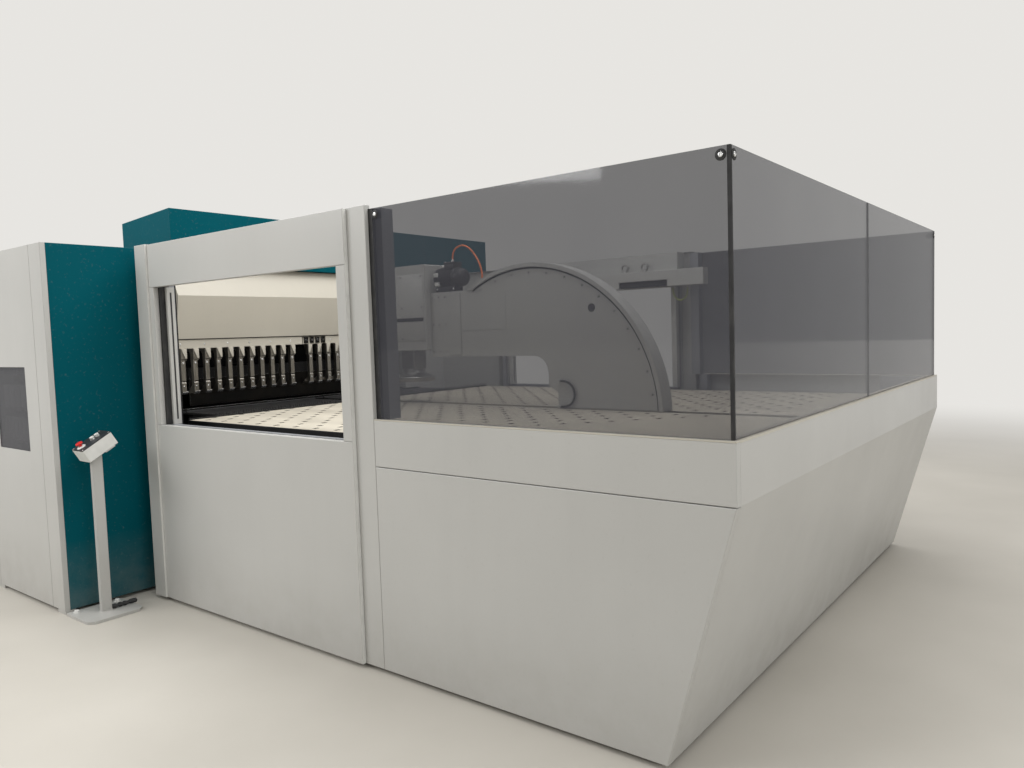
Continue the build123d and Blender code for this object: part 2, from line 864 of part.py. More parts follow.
def press_tool():
    """One tool segment: wedge head, waisted shank with a joint notch, and a pointed toe."""
    front = tool_depth
    toe = tool_top_z - tool_toe_z
    head = tool_head
    notch = toe - 88
    outline = [(0, 0), (front, 0), (front, -head), (front - 6, -head - 6), (front - 6, 8 - notch),
               (front - 12, -notch), (front - 6, -notch - 8), (front - 6, 14 - toe), (front - 20, -toe),
               (-tool_nose, -toe), (-tool_nose + 6, 8 - toe), (22, 60 - toe), (22, -46), (0, -14)]
    body = prism(outline, (-tool_width / 2, tool_width / 2))
    cheek = slab((-1, front + 1), (tool_width / 2 - 11, tool_width / 2 + 1), (20 - toe, -head - 10))
    return body - cheek


def tool_row():
    """The front half of the tool row; the rear half is its mirror image."""
    tool = press_tool()
    x = tool_face_x - tool_depth
    last = centre_y - tool_split / 2
    return [Pos(x, last - i * tool_pitch, tool_top_z - seat_gap) * tool for i in range(tool_count)]


def slide_back():
    return throat_x + blade_retract + 60


def blade_slide():
    """Crosshead pair, guided on the C plates, that carries the blade beam to the bending line."""
    y0 = centre_y - frame_span / 2 + seat_gap
    z = (throat_low + 90, throat_high - 90)
    back = slide_back()
    side = slab((throat_x - guide_lap, upper_limb_x - 2), (y0, y0 + crosshead), z)
    tie = slab((back, back + crosshead), (y0 + crosshead, 2 * centre_y - y0 - crosshead), z)
    return side + mirrored(side) + tie


def blade_beam():
    """C-section beam and the two bending blades at its open side."""
    y0 = centre_y - frame_span / 2 + 2 * seat_gap + crosshead
    y = (y0, 2 * centre_y - y0)
    tip = bend_line_x - blade_clearance
    back = slide_back() + crosshead + seat_gap
    low = table_top - blade_gap / 2 - blade_reach
    high = table_top + blade_gap / 2 + blade_reach
    outline = [(back, low - blade_limb), (tip, low - blade_limb), (tip, low), (back + blade_web, low),
               (back + blade_web, high), (tip, high), (tip, high + blade_limb), (back, high + blade_limb)]
    beam = prism(outline, y)
    root = tip - blade_thickness
    edge = table_top - blade_gap / 2
    lower = prism([(root, low + seat_gap), (tip, low + seat_gap), (tip, edge), (root, edge - 14)], y)
    edge = table_top + blade_gap / 2
    upper = prism([(root, high - seat_gap), (tip, high - seat_gap), (tip, edge), (root, edge + 14)], y)
    return beam, Compound(children=[lower, upper])


# Manipulator

def disc_face(radius):
    return Plane.XZ * Pos(disc_x, disc_z) * Circle(radius)


def plate_y():
    half = rim_width / 2 - face_recess
    return centre_y - half, centre_y + half


def manipulator_plate():
    """C-shaped plate body: half disc, long upper arm and the throat between them."""
    y = plate_y()
    disc = Pos(0, y[1], 0) * extrude(disc_face(disc_radius - rim_thickness), y[1] - y[0])
    arm = slab((head_right + seat_gap, disc_x), y, (arm_bottom, arm_top))
    cut_low = slab((-through, 0), (y[0] - 1, y[1] + 1), (0, table_top + foot_gap))
    throat = slab((-through, throat_end_x), (y[0] - 1, y[1] + 1), (0, arm_bottom))
    throat = fillet(throat.edges().filter_by(Axis.Y).group_by(Axis.Z)[-1].sort_by(Axis.X)[-1], throat_corner)
    jaw = prism([(throat_end_x - 1, 0), (lower_jaw_x, 0), (lower_jaw_x, lower_jaw_top),
                 (throat_end_x - 1, lower_jaw_top + 40)], (y[0] - 1, y[1] + 1))
    hole = rod((spy_hole_x, spy_hole_x), (y[0] - 1, y[1] + 1), (spy_hole_z, spy_hole_z), spy_hole / 2)
    body = disc + arm - cut_low - throat - jaw - hole
    body += slab((arm_rib_x, arm_rib_x + arm_rib_width), (y[0] - 6, y[1] + 6), (arm_bottom + 14, arm_top - 14))
    for z in (gland_low, gland_high):
        body += slab((gland_x, gland_x + gland_width), (y[0] - gland_depth, y[0]), (z - 9, z + 9))
    neck = slab((lower_jaw_x, disc_x + disc_radius - 200), (centre_y - 30, centre_y + 30),
                (carriage_top + seat_gap, table_top + foot_gap))
    return body + neck


def manipulator_rim():
    """Wide band round the half disc, a little proud of the plate on both faces."""
    y = (centre_y - rim_width / 2, centre_y + rim_width / 2)
    ring = disc_face(disc_radius) - disc_face(disc_radius - rim_thickness + seat_gap)
    band = Pos(0, y[1], 0) * extrude(ring, y[1] - y[0])
    band -= slab((-through, 0), (y[0] - 1, y[1] + 1), (-through, table_top + foot_gap))
    band -= slab((-through, disc_x), (y[0] - 1, y[1] + 1), (0, arm_top + seat_gap))
    band += rod((hose_end_x, hose_end_x), (centre_y, centre_y), (hose_end_z - 40, hose_end_z), hose_radius + 5)
    return band


def manipulator_head():
    """Box at the end of the arm that holds the rotator's slide."""
    half = head_width / 2
    box = slab((head_left, head_right), (centre_y - half, centre_y + half), (head_bottom, head_top))
    box = chamfer(box.edges().filter_by(Axis.Y), 6)
    side = ram_size / 2 + running_gap
    bore = slab((rotor_x - side, rotor_x + side), (centre_y - side, centre_y + side),
                (head_bottom - 1, head_bottom + ram_length + 60))
    return box - bore


def clamp_ram():
    side = ram_size / 2
    low = table_top + foot_gap + rotor_open + rotor_height
    ram = slab((rotor_x - side, rotor_x + side), (centre_y - side, centre_y + side), (low, low + ram_length))
    return chamfer(ram.edges().filter_by(Axis.Z), 6)


def upper_rotor():
    """Round clamp that presses on the sheet and turns it."""
    low = table_top + foot_gap + rotor_open
    wide = RegularPolygon(rotor_radius, rotor_sides)
    narrow = RegularPolygon(rotor_neck, rotor_sides)
    body = extrude(wide, rotor_edge)
    fall = (rotor_radius - rotor_neck) * math.cos(math.pi / rotor_sides)
    slope = math.degrees(math.atan(fall / (rotor_shoulder - rotor_edge)))
    body += Pos(0, 0, rotor_edge) * extrude(wide, rotor_shoulder - rotor_edge, taper=slope)
    body += Pos(0, 0, rotor_shoulder) * extrude(narrow, rotor_height - seat_gap - rotor_shoulder)
    return Pos(rotor_x, centre_y, low) * body


def lower_rotor():
    """Small round rest under the sheet, turning in the travel slot."""
    top = table_top
    low = carriage_top + seat_gap
    stem = extrude(RegularPolygon(lower_rotor_radius / 2, 8), top - low)
    disc = extrude(RegularPolygon(lower_rotor_radius, 16), -lower_rotor_height)
    return Pos(rotor_x, centre_y, low) * stem + Pos(rotor_x, centre_y, top) * disc


def manipulator_carriage():
    """Slide under the table that carries the plate and the lower arm."""
    half = carriage_width / 2
    low = carriage_top - carriage_height
    left = lower_jaw_x - carriage_lead
    right = disc_x + disc_radius - carriage_tail
    body = slab((left, right), (centre_y - half, centre_y + half), (low, carriage_top))
    body += slab((rotor_x - rotor_arm / 2, left), (centre_y - rotor_arm / 2, centre_y + rotor_arm / 2),
                 (low + 40, carriage_top))
    shoe = (centre_y - half - shoe_width + 2 * seat_gap, centre_y - half + 20)
    for x in (left + 60, right - 200):
        block = slab((x, x + 140), shoe, (carriage_top - 40, carriage_top + 62))
        body += block + mirrored(block)
    return body


def drive_motor():
    """Servo motor that lies on the arm behind the head, with its bracket and terminal box."""
    z = arm_top + motor_radius + motor_stand
    x0 = motor_x - motor_length
    shaft = motor_x - 70
    can = extrude(Plane.YZ * RegularPolygon(motor_radius, 16), shaft - x0)
    flange = extrude(Plane.YZ * RegularPolygon(motor_radius - 10, 16), motor_x - shaft)
    body = Pos(x0, centre_y, z) * can + Pos(shaft, centre_y, z) * flange
    body += slab((hose_x - 40, hose_x + 40), (centre_y - 45, centre_y + 45),
                 (z + motor_radius - 12, motor_box_top()))
    body += slab((x0, shaft), (centre_y - 42, centre_y + 42), (arm_top + seat_gap, z - motor_radius + 14))
    return body


def motor_box_top():
    return arm_top + 2 * motor_radius + motor_stand + 34


def tube(points, radius):
    """Hose along straight runs joined by arcs, as large as the runs allow."""
    places = [Vector(*p) for p in points]
    runs = [b - a for a, b in zip(places, places[1:])]
    radii = []
    for first, second in zip(runs, runs[1:]):
        turn = math.radians(first.get_angle(second))
        radii.append(0.45 * min(first.length, second.length) / math.tan(turn / 2))
    path = FilletPolyline(*places, radius=radii)
    return sweep(Plane(origin=places[0], z_dir=runs[0]) * RegularPolygon(radius, tube_sides), path=path)


def arm_hose():
    """Orange hose that arcs from the motor's terminal box to the top of the half disc."""
    y = centre_y
    points = [(hose_x, y, motor_box_top()), (hose_x, y, 2080), (-2680, y, 2120), (-2640, y, 2140),
              (-2590, y, 2140), (-2540, y, 2115), (-2492, y, 2062), (-2455, y, 2000),
              (hose_end_x, y, 1945), (hose_end_x, y, hose_end_z)]
    return tube(points, hose_radius)


def arm_cable():
    """Dark cable that bulges in a loop from the lower jaw."""
    y = plate_y()[0] - gland_depth / 2
    start = gland_x + gland_width
    points = [(start, y, gland_high), (-1740, y, gland_high), (-1697, y, 1197), (-1680, y, 1147),
              (-1698, y, 1097), (-1740, y, gland_low), (start, y, gland_low)]
    return tube(points, cable_radius)


# Cabinet at the left front

def cabinet_shell():
    """Fixed grey panels, roof and inner frame of the front cabinet, with its feet."""
    z = (floor_gap, cabinet_top)
    stile = front_tray((cabinet_right - corner_stile, cabinet_right), z, cabinet_front)
    door_left = door_x()[0]
    fixed = front_tray((cabinet_left, door_left - joint_gap), z, cabinet_front)
    behind = cabinet_front + panel_depth + seat_gap
    under = cabinet_top - panel_depth
    right = cabinet_right - panel_depth - seat_gap
    roof = slab((cabinet_left, right), (behind, cabinet_back), (under + seat_gap, under + seat_gap + sheet))
    left = left_tray((behind, cabinet_back), (floor_gap, under), cabinet_left)
    back = slab((cabinet_left + panel_depth + seat_gap, right), (cabinet_back - sheet, cabinet_back),
                (floor_gap, under))
    solids = [stile, fixed, roof, left, back]
    for middle in (door_left, cabinet_right - corner_stile):
        solids.append(slab((middle - wall_tube / 2, middle + wall_tube / 2), (behind, behind + wall_tube / 2),
                           (floor_gap, under)))
    for x in (cabinet_right - cabinet_foot, door_left - cabinet_foot / 2, cabinet_left):
        solids.append(slab((x, x + cabinet_foot), (cabinet_front + 2, cabinet_front + 60), (0, floor_gap)))
        solids.append(slab((x, x + cabinet_foot), (cabinet_back - 60, cabinet_back), (0, floor_gap)))
    return Compound(children=solids)


def cabinet_side():
    """Painted side panel of the front cabinet, from its corner stile to behind the post."""
    start = cabinet_front + panel_depth + seat_gap
    return right_tray((start, screen_line), (floor_gap, cabinet_top), cabinet_right)


def door_x():
    right = cabinet_right - corner_stile - joint_gap
    return right - door_width, right


def window_x():
    right = door_x()[1] - window_margin
    return right - window_width, right


def cabinet_door():
    """Swinging door with a cut-out for the smoked window."""
    left, right = door_x()
    door = front_tray((left, right), (floor_gap, cabinet_top), cabinet_front)
    hole = slab(window_x(), (cabinet_front - 1, cabinet_front + sheet + 1),
                (window_bottom, window_bottom + window_height))
    return door - hole


def cabinet_window():
    """Smoked pane behind the door's cut-out, lapping it all round."""
    lap = 20.0
    x = window_x()
    back = cabinet_front + sheet + seat_gap
    return slab((x[0] - lap, x[1] + lap), (back, back + 5),
                (window_bottom - lap, window_bottom + window_height + lap))


# Control pedestal

def pedestal_stand():
    """Foot plate and column as one weldment, with two anchor screws."""
    x = (pedestal_x - foot_plate_x / 2, pedestal_x + foot_plate_x / 2)
    y = (pedestal_y - foot_plate_y / 2, pedestal_y + foot_plate_y / 2)
    foot = slab(x, y, (0, foot_plate_thickness))
    foot = chamfer(foot.edges().filter_by(Axis.Z).sort_by(Axis.X)[-2:], 30)
    drop = box_height / 2 / math.cos(math.radians(box_tilt))
    top = box_centre_z - drop
    slope = column_y / 2 * math.tan(math.radians(box_tilt))
    column = slab((pedestal_x - column_x / 2, pedestal_x + column_x / 2),
                  (box_centre_y - column_y / 2, box_centre_y + column_y / 2),
                  (foot_plate_thickness, top + slope))
    cut = Pos(pedestal_x, box_centre_y, box_centre_z) * Rot(box_tilt, 0, 0) * Box(
        box_width, box_length, box_height)
    stand = foot + (column - cut)
    for y_screw in (y[0] + 40, y[1] - 40):
        nut = extrude(RegularPolygon(10, 6), 10)
        stand += Pos(x[0] + 40, y_screw, foot_plate_thickness) * nut
    return stand


def cable_fitting():
    """Ribbed conduit fitting that lies behind the column and turns down to the floor."""
    x = pedestal_x + fitting_offset
    start = box_centre_y + column_y / 2 + seat_gap
    z = foot_plate_thickness + fitting_radius + seat_gap
    body = Pos(x, start + fitting_length, z) * extrude(Plane.XZ * RegularPolygon(fitting_radius - 4, 6),
                                                       fitting_length)
    for place, length in ((4, 18), (40, 14), (66, 14), (104, 36)):
        ring = extrude(Plane.XZ * RegularPolygon(fitting_radius, 6), length)
        body += Pos(x, start + place + length, z) * ring
    return body


def on_box(shape):
    """Place something drawn on the level box where the tilted box stands."""
    return Pos(pedestal_x, box_centre_y, box_centre_z) * Rot(box_tilt, 0, 0) * shape


def button_holes():
    top = box_height / 2
    holes = []
    for place, radius in ((stop_place, stop_stem), (start_place, button_stem), (reset_place, button_stem)):
        hole = extrude(RegularPolygon(radius + button_clearance, 8, major_radius=False), 40)
        holes.append(Pos(0, place, top - 30) * hole)
    return holes


def button_box():
    """Moulded box body, open at the top, under the dark lid."""
    body = Box(box_width, box_length, box_height - lid_thickness)
    body = chamfer(body.edges().filter_by(Axis.Z), box_corner)
    body -= Pos(0, 0, box_wall) * Box(box_width - 2 * box_wall, box_length - 2 * box_wall,
                                      box_height - lid_thickness)
    gland = Pos(0, 48, -(box_height - lid_thickness) / 2 - 8) * Box(box_width * 0.6, 60, 16)
    return on_box(Pos(0, 0, -lid_thickness / 2) * (body + gland))


def box_lid():
    lid = Pos(0, 0, (box_height - lid_thickness) / 2) * Box(box_width, box_length, lid_thickness)
    lid = chamfer(lid.edges().filter_by(Axis.Z), box_corner)
    return on_box(lid - button_holes())


def push_button(place, head_radius, stem_radius, height, mushroom):
    """A button on its stem, free to travel into the lid."""
    top = box_height / 2
    stem = Pos(0, place, top - 24) * extrude(RegularPolygon(stem_radius, 8), height + 20)
    cap = Pos(0, place, top + height - 4.5) * extrude(RegularPolygon(head_radius, 16), 9)
    if mushroom:
        cap = chamfer(cap.faces().sort_by(Axis.Z)[-1].edges(), 3)
    return on_box(stem + cap)


def write(shape, name):
    """Move a piece to the centre of the footprint and write its file."""
    solids = [Pos(-origin_x, -origin_y, 0) * solid for solid in shape.solids()]
    moved = Compound(children=solids) if len(solids) > 1 else solids[0]
    export_step(moved, os.path.join("parts", name + ".step"))


def build():
    os.makedirs("parts", exist_ok=True)
    tools = tool_row()
    beam, blades = blade_beam()
    pieces = {
        "base_frame": base_frame(),
        "levelling_feet": levelling_feet(),
        "kick_plinth": kick_plinth(),
        "portal_posts": portal_posts(),
        "portal_frames": portal_frames(),
        "portal_lower_panels": portal_lower_panels(),
        "bay_lower_panels": bay_lower_panels(),
        "bay_bands": bay_bands(),
        "side_panels": side_panels(),
        "sill_trim": sill_trim(),
        "bay_glass": bay_glass(),
        "side_glass": side_glass(),
        "rubber_seals": rubber_seals(),
        "glass_bolts": glass_bolts(),
        "glass_posts": glass_posts(),
        "light_curtains": light_curtains(),
        "rear_gate": rear_gate(),
        "lifting_eyes": lifting_eyes(),
        "gate_hose": gate_hose(),
        "table_frame": table_frame(),
        "table_plates_front": Compound(children=table_plates(True)),
        "table_plates_rear": Compound(children=[mirrored(p) for p in table_plates(False)]),
        "table_trim": table_trim(),
        "travel_rails": travel_rails(),
        "press_frame": press_frame(),
        "upper_housing": upper_housing(),
        "press_hood": press_hood(),
        "press_panels": press_panels(),
        "dark_screens": dark_screens(),
        "lower_beam": lower_beam(),
        "counter_blade": counter_blade(),
        "bridge_plates": bridge_plates(),
        "blankholder_beam": blankholder_beam(),
        "holder_bars": holder_bars(),
        "front_tools": Compound(children=tools),
        "rear_tools": Compound(children=[mirrored(t) for t in tools]),
        "blade_slide": blade_slide(),
        "blade_beam": beam,
        "bending_blades": blades,
        "manipulator_carriage": manipulator_carriage(),
        "manipulator_plate": manipulator_plate(),
        "manipulator_rim": manipulator_rim(),
        "manipulator_head": manipulator_head(),
        "drive_motor": drive_motor(),
        "arm_hose": arm_hose(),
        "arm_cable": arm_cable(),
        "clamp_ram": clamp_ram(),
        "upper_rotor": upper_rotor(),
        "lower_rotor": lower_rotor(),
        "cabinet_shell": cabinet_shell(),
        "cabinet_side": cabinet_side(),
        "cabinet_door": cabinet_door(),
        "cabinet_window": cabinet_window(),
        "pedestal_stand": pedestal_stand(),
        "cable_fitting": cable_fitting(),
        "button_box": button_box(),
        "box_lid": box_lid(),
        "stop_button": push_button(stop_place, stop_radius, stop_stem, stop_height, True),
        "start_button": push_button(start_place, button_radius, button_stem, button_height, False),
        "reset_button": push_button(reset_place, button_radius, button_stem, button_height, False),
    }
    for name, shape in pieces.items():
        write(shape, name)


build()
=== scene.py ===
import json
import math
import random

import bmesh
import bpy
from mathutils import Matrix, Vector


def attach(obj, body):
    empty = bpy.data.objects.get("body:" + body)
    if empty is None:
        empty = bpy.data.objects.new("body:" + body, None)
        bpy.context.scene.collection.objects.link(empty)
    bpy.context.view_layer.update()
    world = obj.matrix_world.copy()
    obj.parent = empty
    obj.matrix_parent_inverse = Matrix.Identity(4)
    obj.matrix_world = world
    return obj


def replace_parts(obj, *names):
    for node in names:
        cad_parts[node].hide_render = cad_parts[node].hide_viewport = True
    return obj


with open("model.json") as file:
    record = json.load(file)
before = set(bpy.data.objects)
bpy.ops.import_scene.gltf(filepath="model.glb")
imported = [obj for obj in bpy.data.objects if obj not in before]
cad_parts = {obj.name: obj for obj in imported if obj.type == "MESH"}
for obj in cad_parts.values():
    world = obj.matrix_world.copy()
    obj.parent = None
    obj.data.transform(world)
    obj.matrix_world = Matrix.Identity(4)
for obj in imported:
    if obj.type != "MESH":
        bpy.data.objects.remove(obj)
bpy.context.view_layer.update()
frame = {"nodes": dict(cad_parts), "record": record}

# The machine's own corner, the right end of the enclosure at the glazed front, in the row frame
CORNER = Vector((2.695, -1.814, 0.0))

# The enclosure's middle plane, in millimetres from the corner
MIDDLE = 1700.0

# The photograph's camera, found from the machine's straight edges
FOCAL_PX = 785.6
IMAGE_WIDTH_PX = 1024
SENSOR_MM = 36.0
CAMERA_PLACE = (0.961, -2.377, 1.540)
CAMERA_YAW = math.radians(37.93)
CAMERA_PITCH = math.radians(-3.78)
CAMERA_ROLL = math.radians(-1.88)

# Cord routes and radii, from the corner, in metres
MIDDLE_Y = MIDDLE / 1000
HOSE_POINTS = [(-2.700, MIDDLE_Y, 2.035), (-2.700, MIDDLE_Y, 2.080), (-2.680, MIDDLE_Y, 2.120),
               (-2.640, MIDDLE_Y, 2.140), (-2.590, MIDDLE_Y, 2.140), (-2.540, MIDDLE_Y, 2.115),
               (-2.492, MIDDLE_Y, 2.062), (-2.455, MIDDLE_Y, 2.000), (-2.440, MIDDLE_Y, 1.945),
               (-2.440, MIDDLE_Y, 1.900)]
HOSE_RADIUS = 0.006
CABLE_Y = 1.637
CABLE_POINTS = [(-1.786, CABLE_Y, 1.228), (-1.740, CABLE_Y, 1.228), (-1.697, CABLE_Y, 1.197),
                (-1.680, CABLE_Y, 1.147), (-1.698, CABLE_Y, 1.097), (-1.740, CABLE_Y, 1.068),
                (-1.786, CABLE_Y, 1.068)]
CABLE_RADIUS = 0.007
LOOP_Y = 3.1544
LOOP_POINTS = [(-1.760, LOOP_Y, 1.836), (-1.760, LOOP_Y, 1.796), (-1.743, LOOP_Y, 1.761),
               (-1.712, LOOP_Y, 1.740), (-1.676, LOOP_Y, 1.743), (-1.649, LOOP_Y, 1.770),
               (-1.640, LOOP_Y, 1.803), (-1.640, LOOP_Y, 1.836)]
LOOP_RADIUS = 0.005

X, Z = Vector((1, 0, 0)), Vector((0, 0, 1))

# Angles in degrees above which an edge is shaded sharp
NODE_SHARP, PIECE_SHARP = 28.0, 32.0

# Sockets of the mix node for colours, and its result
MIX_SHARE, MIX_FIRST, MIX_SECOND, MIX_RESULT = 0, 6, 7, 2


def at(x, y, z):
    """A place given from the machine's corner, in the row frame."""
    return CORNER + Vector((x, y, z))


def add_object(name, data):
    """A new object with the data, linked to the scene."""
    thing = bpy.data.objects.new(name, data)
    bpy.context.scene.collection.objects.link(thing)
    return thing


# Camera

def make_camera():
    """The photograph's camera: turned left and down from the machine's depth axis, and rolled."""
    yaw, pitch, roll = CAMERA_YAW, CAMERA_PITCH, CAMERA_ROLL
    forward = Vector((-math.sin(yaw) * math.cos(pitch), math.cos(yaw) * math.cos(pitch), math.sin(pitch)))
    level = Vector((math.cos(yaw), math.sin(yaw), 0.0))
    upright = level.cross(forward)
    right = math.cos(roll) * level + math.sin(roll) * upright
    up = -math.sin(roll) * level + math.cos(roll) * upright
    data = bpy.data.cameras.new("photo_camera")
    data.sensor_width = SENSOR_MM
    data.lens = FOCAL_PX / IMAGE_WIDTH_PX * SENSOR_MM
    camera = add_object("photo_camera", data)
    turn = Matrix((right, up, -forward)).transposed().to_4x4()
    camera.matrix_world = Matrix.Translation(at(*CAMERA_PLACE)) @ turn
    bpy.context.scene.camera = camera


# Node helpers

class Shader:
    """One material and short calls for the nodes that every finish here uses."""

    def __init__(self, name):
        self.material = bpy.data.materials.new(name)
        self.material.use_nodes = True
        self.tree = self.material.node_tree
        self.bsdf = self.tree.nodes["Principled BSDF"]
        self.coordinates = self.add("ShaderNodeTexCoord").outputs["Object"]

    def add(self, kind):
        return self.tree.nodes.new(kind)

    def link(self, source, target):
        self.tree.links.new(source, target)

    def feed(self, value, socket):
        """A socket takes either another node's output or a plain value."""
        if isinstance(value, bpy.types.NodeSocket):
            self.link(value, socket)
        else:
            socket.default_value = value

    def stretch(self, scale):
        """The object's coordinates with each axis scaled."""
        node = self.add("ShaderNodeMapping")
        node.inputs["Scale"].default_value = scale
        self.link(self.coordinates, node.inputs["Vector"])
        return node.outputs["Vector"]

    def noise(self, scale, detail=3.0, stretch=None, rough=0.5):
        """Cloudy noise in the object's coordinates, finer along an axis that is stretched more."""
        node = self.add("ShaderNodeTexNoise")
        node.inputs["Scale"].default_value = scale
        node.inputs["Detail"].default_value = detail
        node.inputs["Roughness"].default_value = rough
        self.link(self.stretch(stretch) if stretch else self.coordinates, node.inputs["Vector"])
        return node.outputs["Fac"]

    def scratches(self, scale, stretch):
        """1 along thin cell borders, 0 between them."""
        node = self.add("ShaderNodeTexVoronoi")
        node.feature = "DISTANCE_TO_EDGE"
        node.inputs["Scale"].default_value = scale
        self.link(self.stretch(stretch), node.inputs["Vector"])
        return self.ramp(node.outputs["Distance"], 0.0, 0.03, 1.0, 0.0)

    def ramp(self, value, low, high, out_low=0.0, out_high=1.0):
        """The value's range from low to high, mapped to the range of the result."""
        node = self.add("ShaderNodeMapRange")
        self.feed(value, node.inputs["Value"])
        node.inputs["From Min"].default_value = low
        node.inputs["From Max"].default_value = high
        node.inputs["To Min"].default_value = out_low
        node.inputs["To Max"].default_value = out_high
        return node.outputs["Result"]

    def maths(self, operation, first, second):
        node = self.add("ShaderNodeMath")
        node.operation = operation
        self.feed(first, node.inputs[0])
        self.feed(second, node.inputs[1])
        return node.outputs["Value"]

    def mix(self, share, first, second):
        node = self.add("ShaderNodeMix")
        node.data_type = "RGBA"
        self.feed(share, node.inputs[MIX_SHARE])
        self.feed(first, node.inputs[MIX_FIRST])
        self.feed(second, node.inputs[MIX_SECOND])
        return node.outputs[MIX_RESULT]

    def height(self):
        """Height above the floor."""
        node = self.add("ShaderNodeSeparateXYZ")
        self.link(self.coordinates, node.inputs["Vector"])
        return node.outputs["Z"]

    def edges(self, radius):
        """1 along convex and concave edges, 0 on flat faces, from a rounded normal."""
        bevel = self.add("ShaderNodeBevel")
        bevel.samples = 4
        bevel.inputs["Radius"].default_value = radius
        flat = self.add("ShaderNodeNewGeometry")
        dot = self.add("ShaderNodeVectorMath")
        dot.operation = "DOT_PRODUCT"
        self.link(bevel.outputs["Normal"], dot.inputs[0])
        self.link(flat.outputs["Normal"], dot.inputs[1])
        return self.ramp(dot.outputs["Value"], 0.995, 0.86), bevel.outputs["Normal"]

    def bump(self, height, strength, distance, normal=None):
        node = self.add("ShaderNodeBump")
        node.inputs["Strength"].default_value = strength
        node.inputs["Distance"].default_value = distance
        self.link(height, node.inputs["Height"])
        if normal is not None:
            self.link(normal, node.inputs["Normal"])
        return node.outputs["Normal"]

    def finish(self, colour, roughness, normal):
        self.feed(colour, self.bsdf.inputs["Base Color"])
        self.feed(roughness, self.bsdf.inputs["Roughness"])
        self.feed(normal, self.bsdf.inputs["Normal"])
        return self.material


def rgba(colour, factor=1.0):
    """A colour made lighter or darker, with full alpha."""
    return (*[min(1.0, channel * factor) for channel in colour], 1.0)


# Colours that several finishes share
DUST = (0.30, 0.28, 0.24)
OIL = (0.07, 0.06, 0.045, 1.0)
BARE_EDGE = (0.85, 0.85, 0.84, 1.0)
RUBBER_DUST = (0.09, 0.085, 0.08, 1.0)
SPOT = (0.16, 0.15, 0.13, 1.0)
BACKDROP = (0.80, 0.785, 0.755, 1.0)
FLOOR_DARK, FLOOR_PALE = (0.46, 0.435, 0.385, 1.0), (0.54, 0.512, 0.458, 1.0)


def painted(name, colour, roughness=0.36, grime=0.35, edge=0.35, shine=0.5, coat=0.12):
    """Sprayed sheet metal: faint mottling, orange peel, dust near the floor and worn edges."""
    shader = Shader(name)
    mottle = shader.ramp(shader.noise(0.9, 4.0), 0.3, 0.7)
    base = shader.mix(mottle, rgba(colour, 0.95), rgba(colour, 1.05))
    streaks = shader.ramp(shader.noise(1.0, 4.0, (9.0, 9.0, 0.7)), 0.45, 0.75, 0.0, 0.10)
    base = shader.mix(streaks, base, rgba(colour, 0.82))
    speck = shader.ramp(shader.noise(60.0, 2.0), 0.62, 0.78, 0.0, 0.10)
    base = shader.mix(speck, base, rgba(DUST))
    near_floor = shader.ramp(shader.height(), 0.02, 0.42, 1.0, 0.0)
    patches = shader.ramp(shader.noise(7.0, 6.0, None, 0.65), 0.35, 0.75, 0.1, grime)
    dirt = shader.maths("MULTIPLY", near_floor, patches)
    base = shader.mix(dirt, base, rgba(DUST))
    worn, rounded = shader.edges(0.0035)
    wear = shader.maths("MULTIPLY", worn, shader.ramp(shader.noise(22.0, 4.0), 0.35, 0.7, 0.15, edge))
    base = shader.mix(wear, base, rgba([0.3 + 0.7 * channel for channel in colour]))
    gloss = shader.ramp(shader.noise(3.5, 4.0), 0.25, 0.75, roughness - 0.05, roughness + 0.06)
    gloss = shader.maths("ADD", gloss, shader.maths("MULTIPLY", dirt, 0.3))
    orange_peel = shader.bump(shader.noise(420.0, 2.0), 0.05, 0.0003, rounded)
    normal = shader.bump(shader.noise(1.3, 1.0), 0.05, 0.05, orange_peel)
    shader.bsdf.inputs["Specular IOR Level"].default_value = shine
    shader.bsdf.inputs["Coat Weight"].default_value = coat
    shader.bsdf.inputs["Coat Roughness"].default_value = 0.25
    return shader.finish(base, gloss, normal)


def steel(name, colour, roughness, grain=(60.0, 60.0, 3.0), oil=0.25):
    """Bare machined steel with a fine grain, oily patches and bright edges."""
    shader = Shader(name)
    lines = shader.noise(5.0, 5.0, grain)
    base = shader.mix(shader.ramp(lines, 0.3, 0.7), rgba(colour, 0.82), rgba(colour, 1.12))
    film = shader.ramp(shader.noise(9.0, 5.0), 0.45, 0.75, 0.0, oil)
    base = shader.mix(film, base, OIL)
    worn, rounded = shader.edges(0.0016)
    base = shader.mix(shader.maths("MULTIPLY", worn, 0.6), base, BARE_EDGE)
    gloss = shader.ramp(lines, 0.3, 0.7, roughness - 0.08, roughness + 0.10)
    shader.bsdf.inputs["Metallic"].default_value = 1.0
    shader.bsdf.inputs["Anisotropic"].default_value = 0.35
    return shader.finish(base, gloss, shader.bump(lines, 0.10, 0.0006, rounded))


def moulded(name, colour, roughness=0.45):
    """Plastic with a fine spark-eroded grain and slightly rubbed edges."""
    shader = Shader(name)
    cloud = shader.ramp(shader.noise(14.0, 4.0), 0.3, 0.7)
    base = shader.mix(cloud, rgba(colour, 0.92), rgba(colour, 1.06))
    worn, rounded = shader.edges(0.0012)
    rubbed = rgba([0.25 + 0.75 * channel for channel in colour])
    base = shader.mix(shader.maths("MULTIPLY", worn, 0.25), base, rubbed)
    gloss = shader.ramp(shader.noise(30.0, 4.0), 0.3, 0.7, roughness - 0.06, roughness + 0.08)
    return shader.finish(base, gloss, shader.bump(shader.noise(900.0, 2.0), 0.18, 0.0002, rounded))


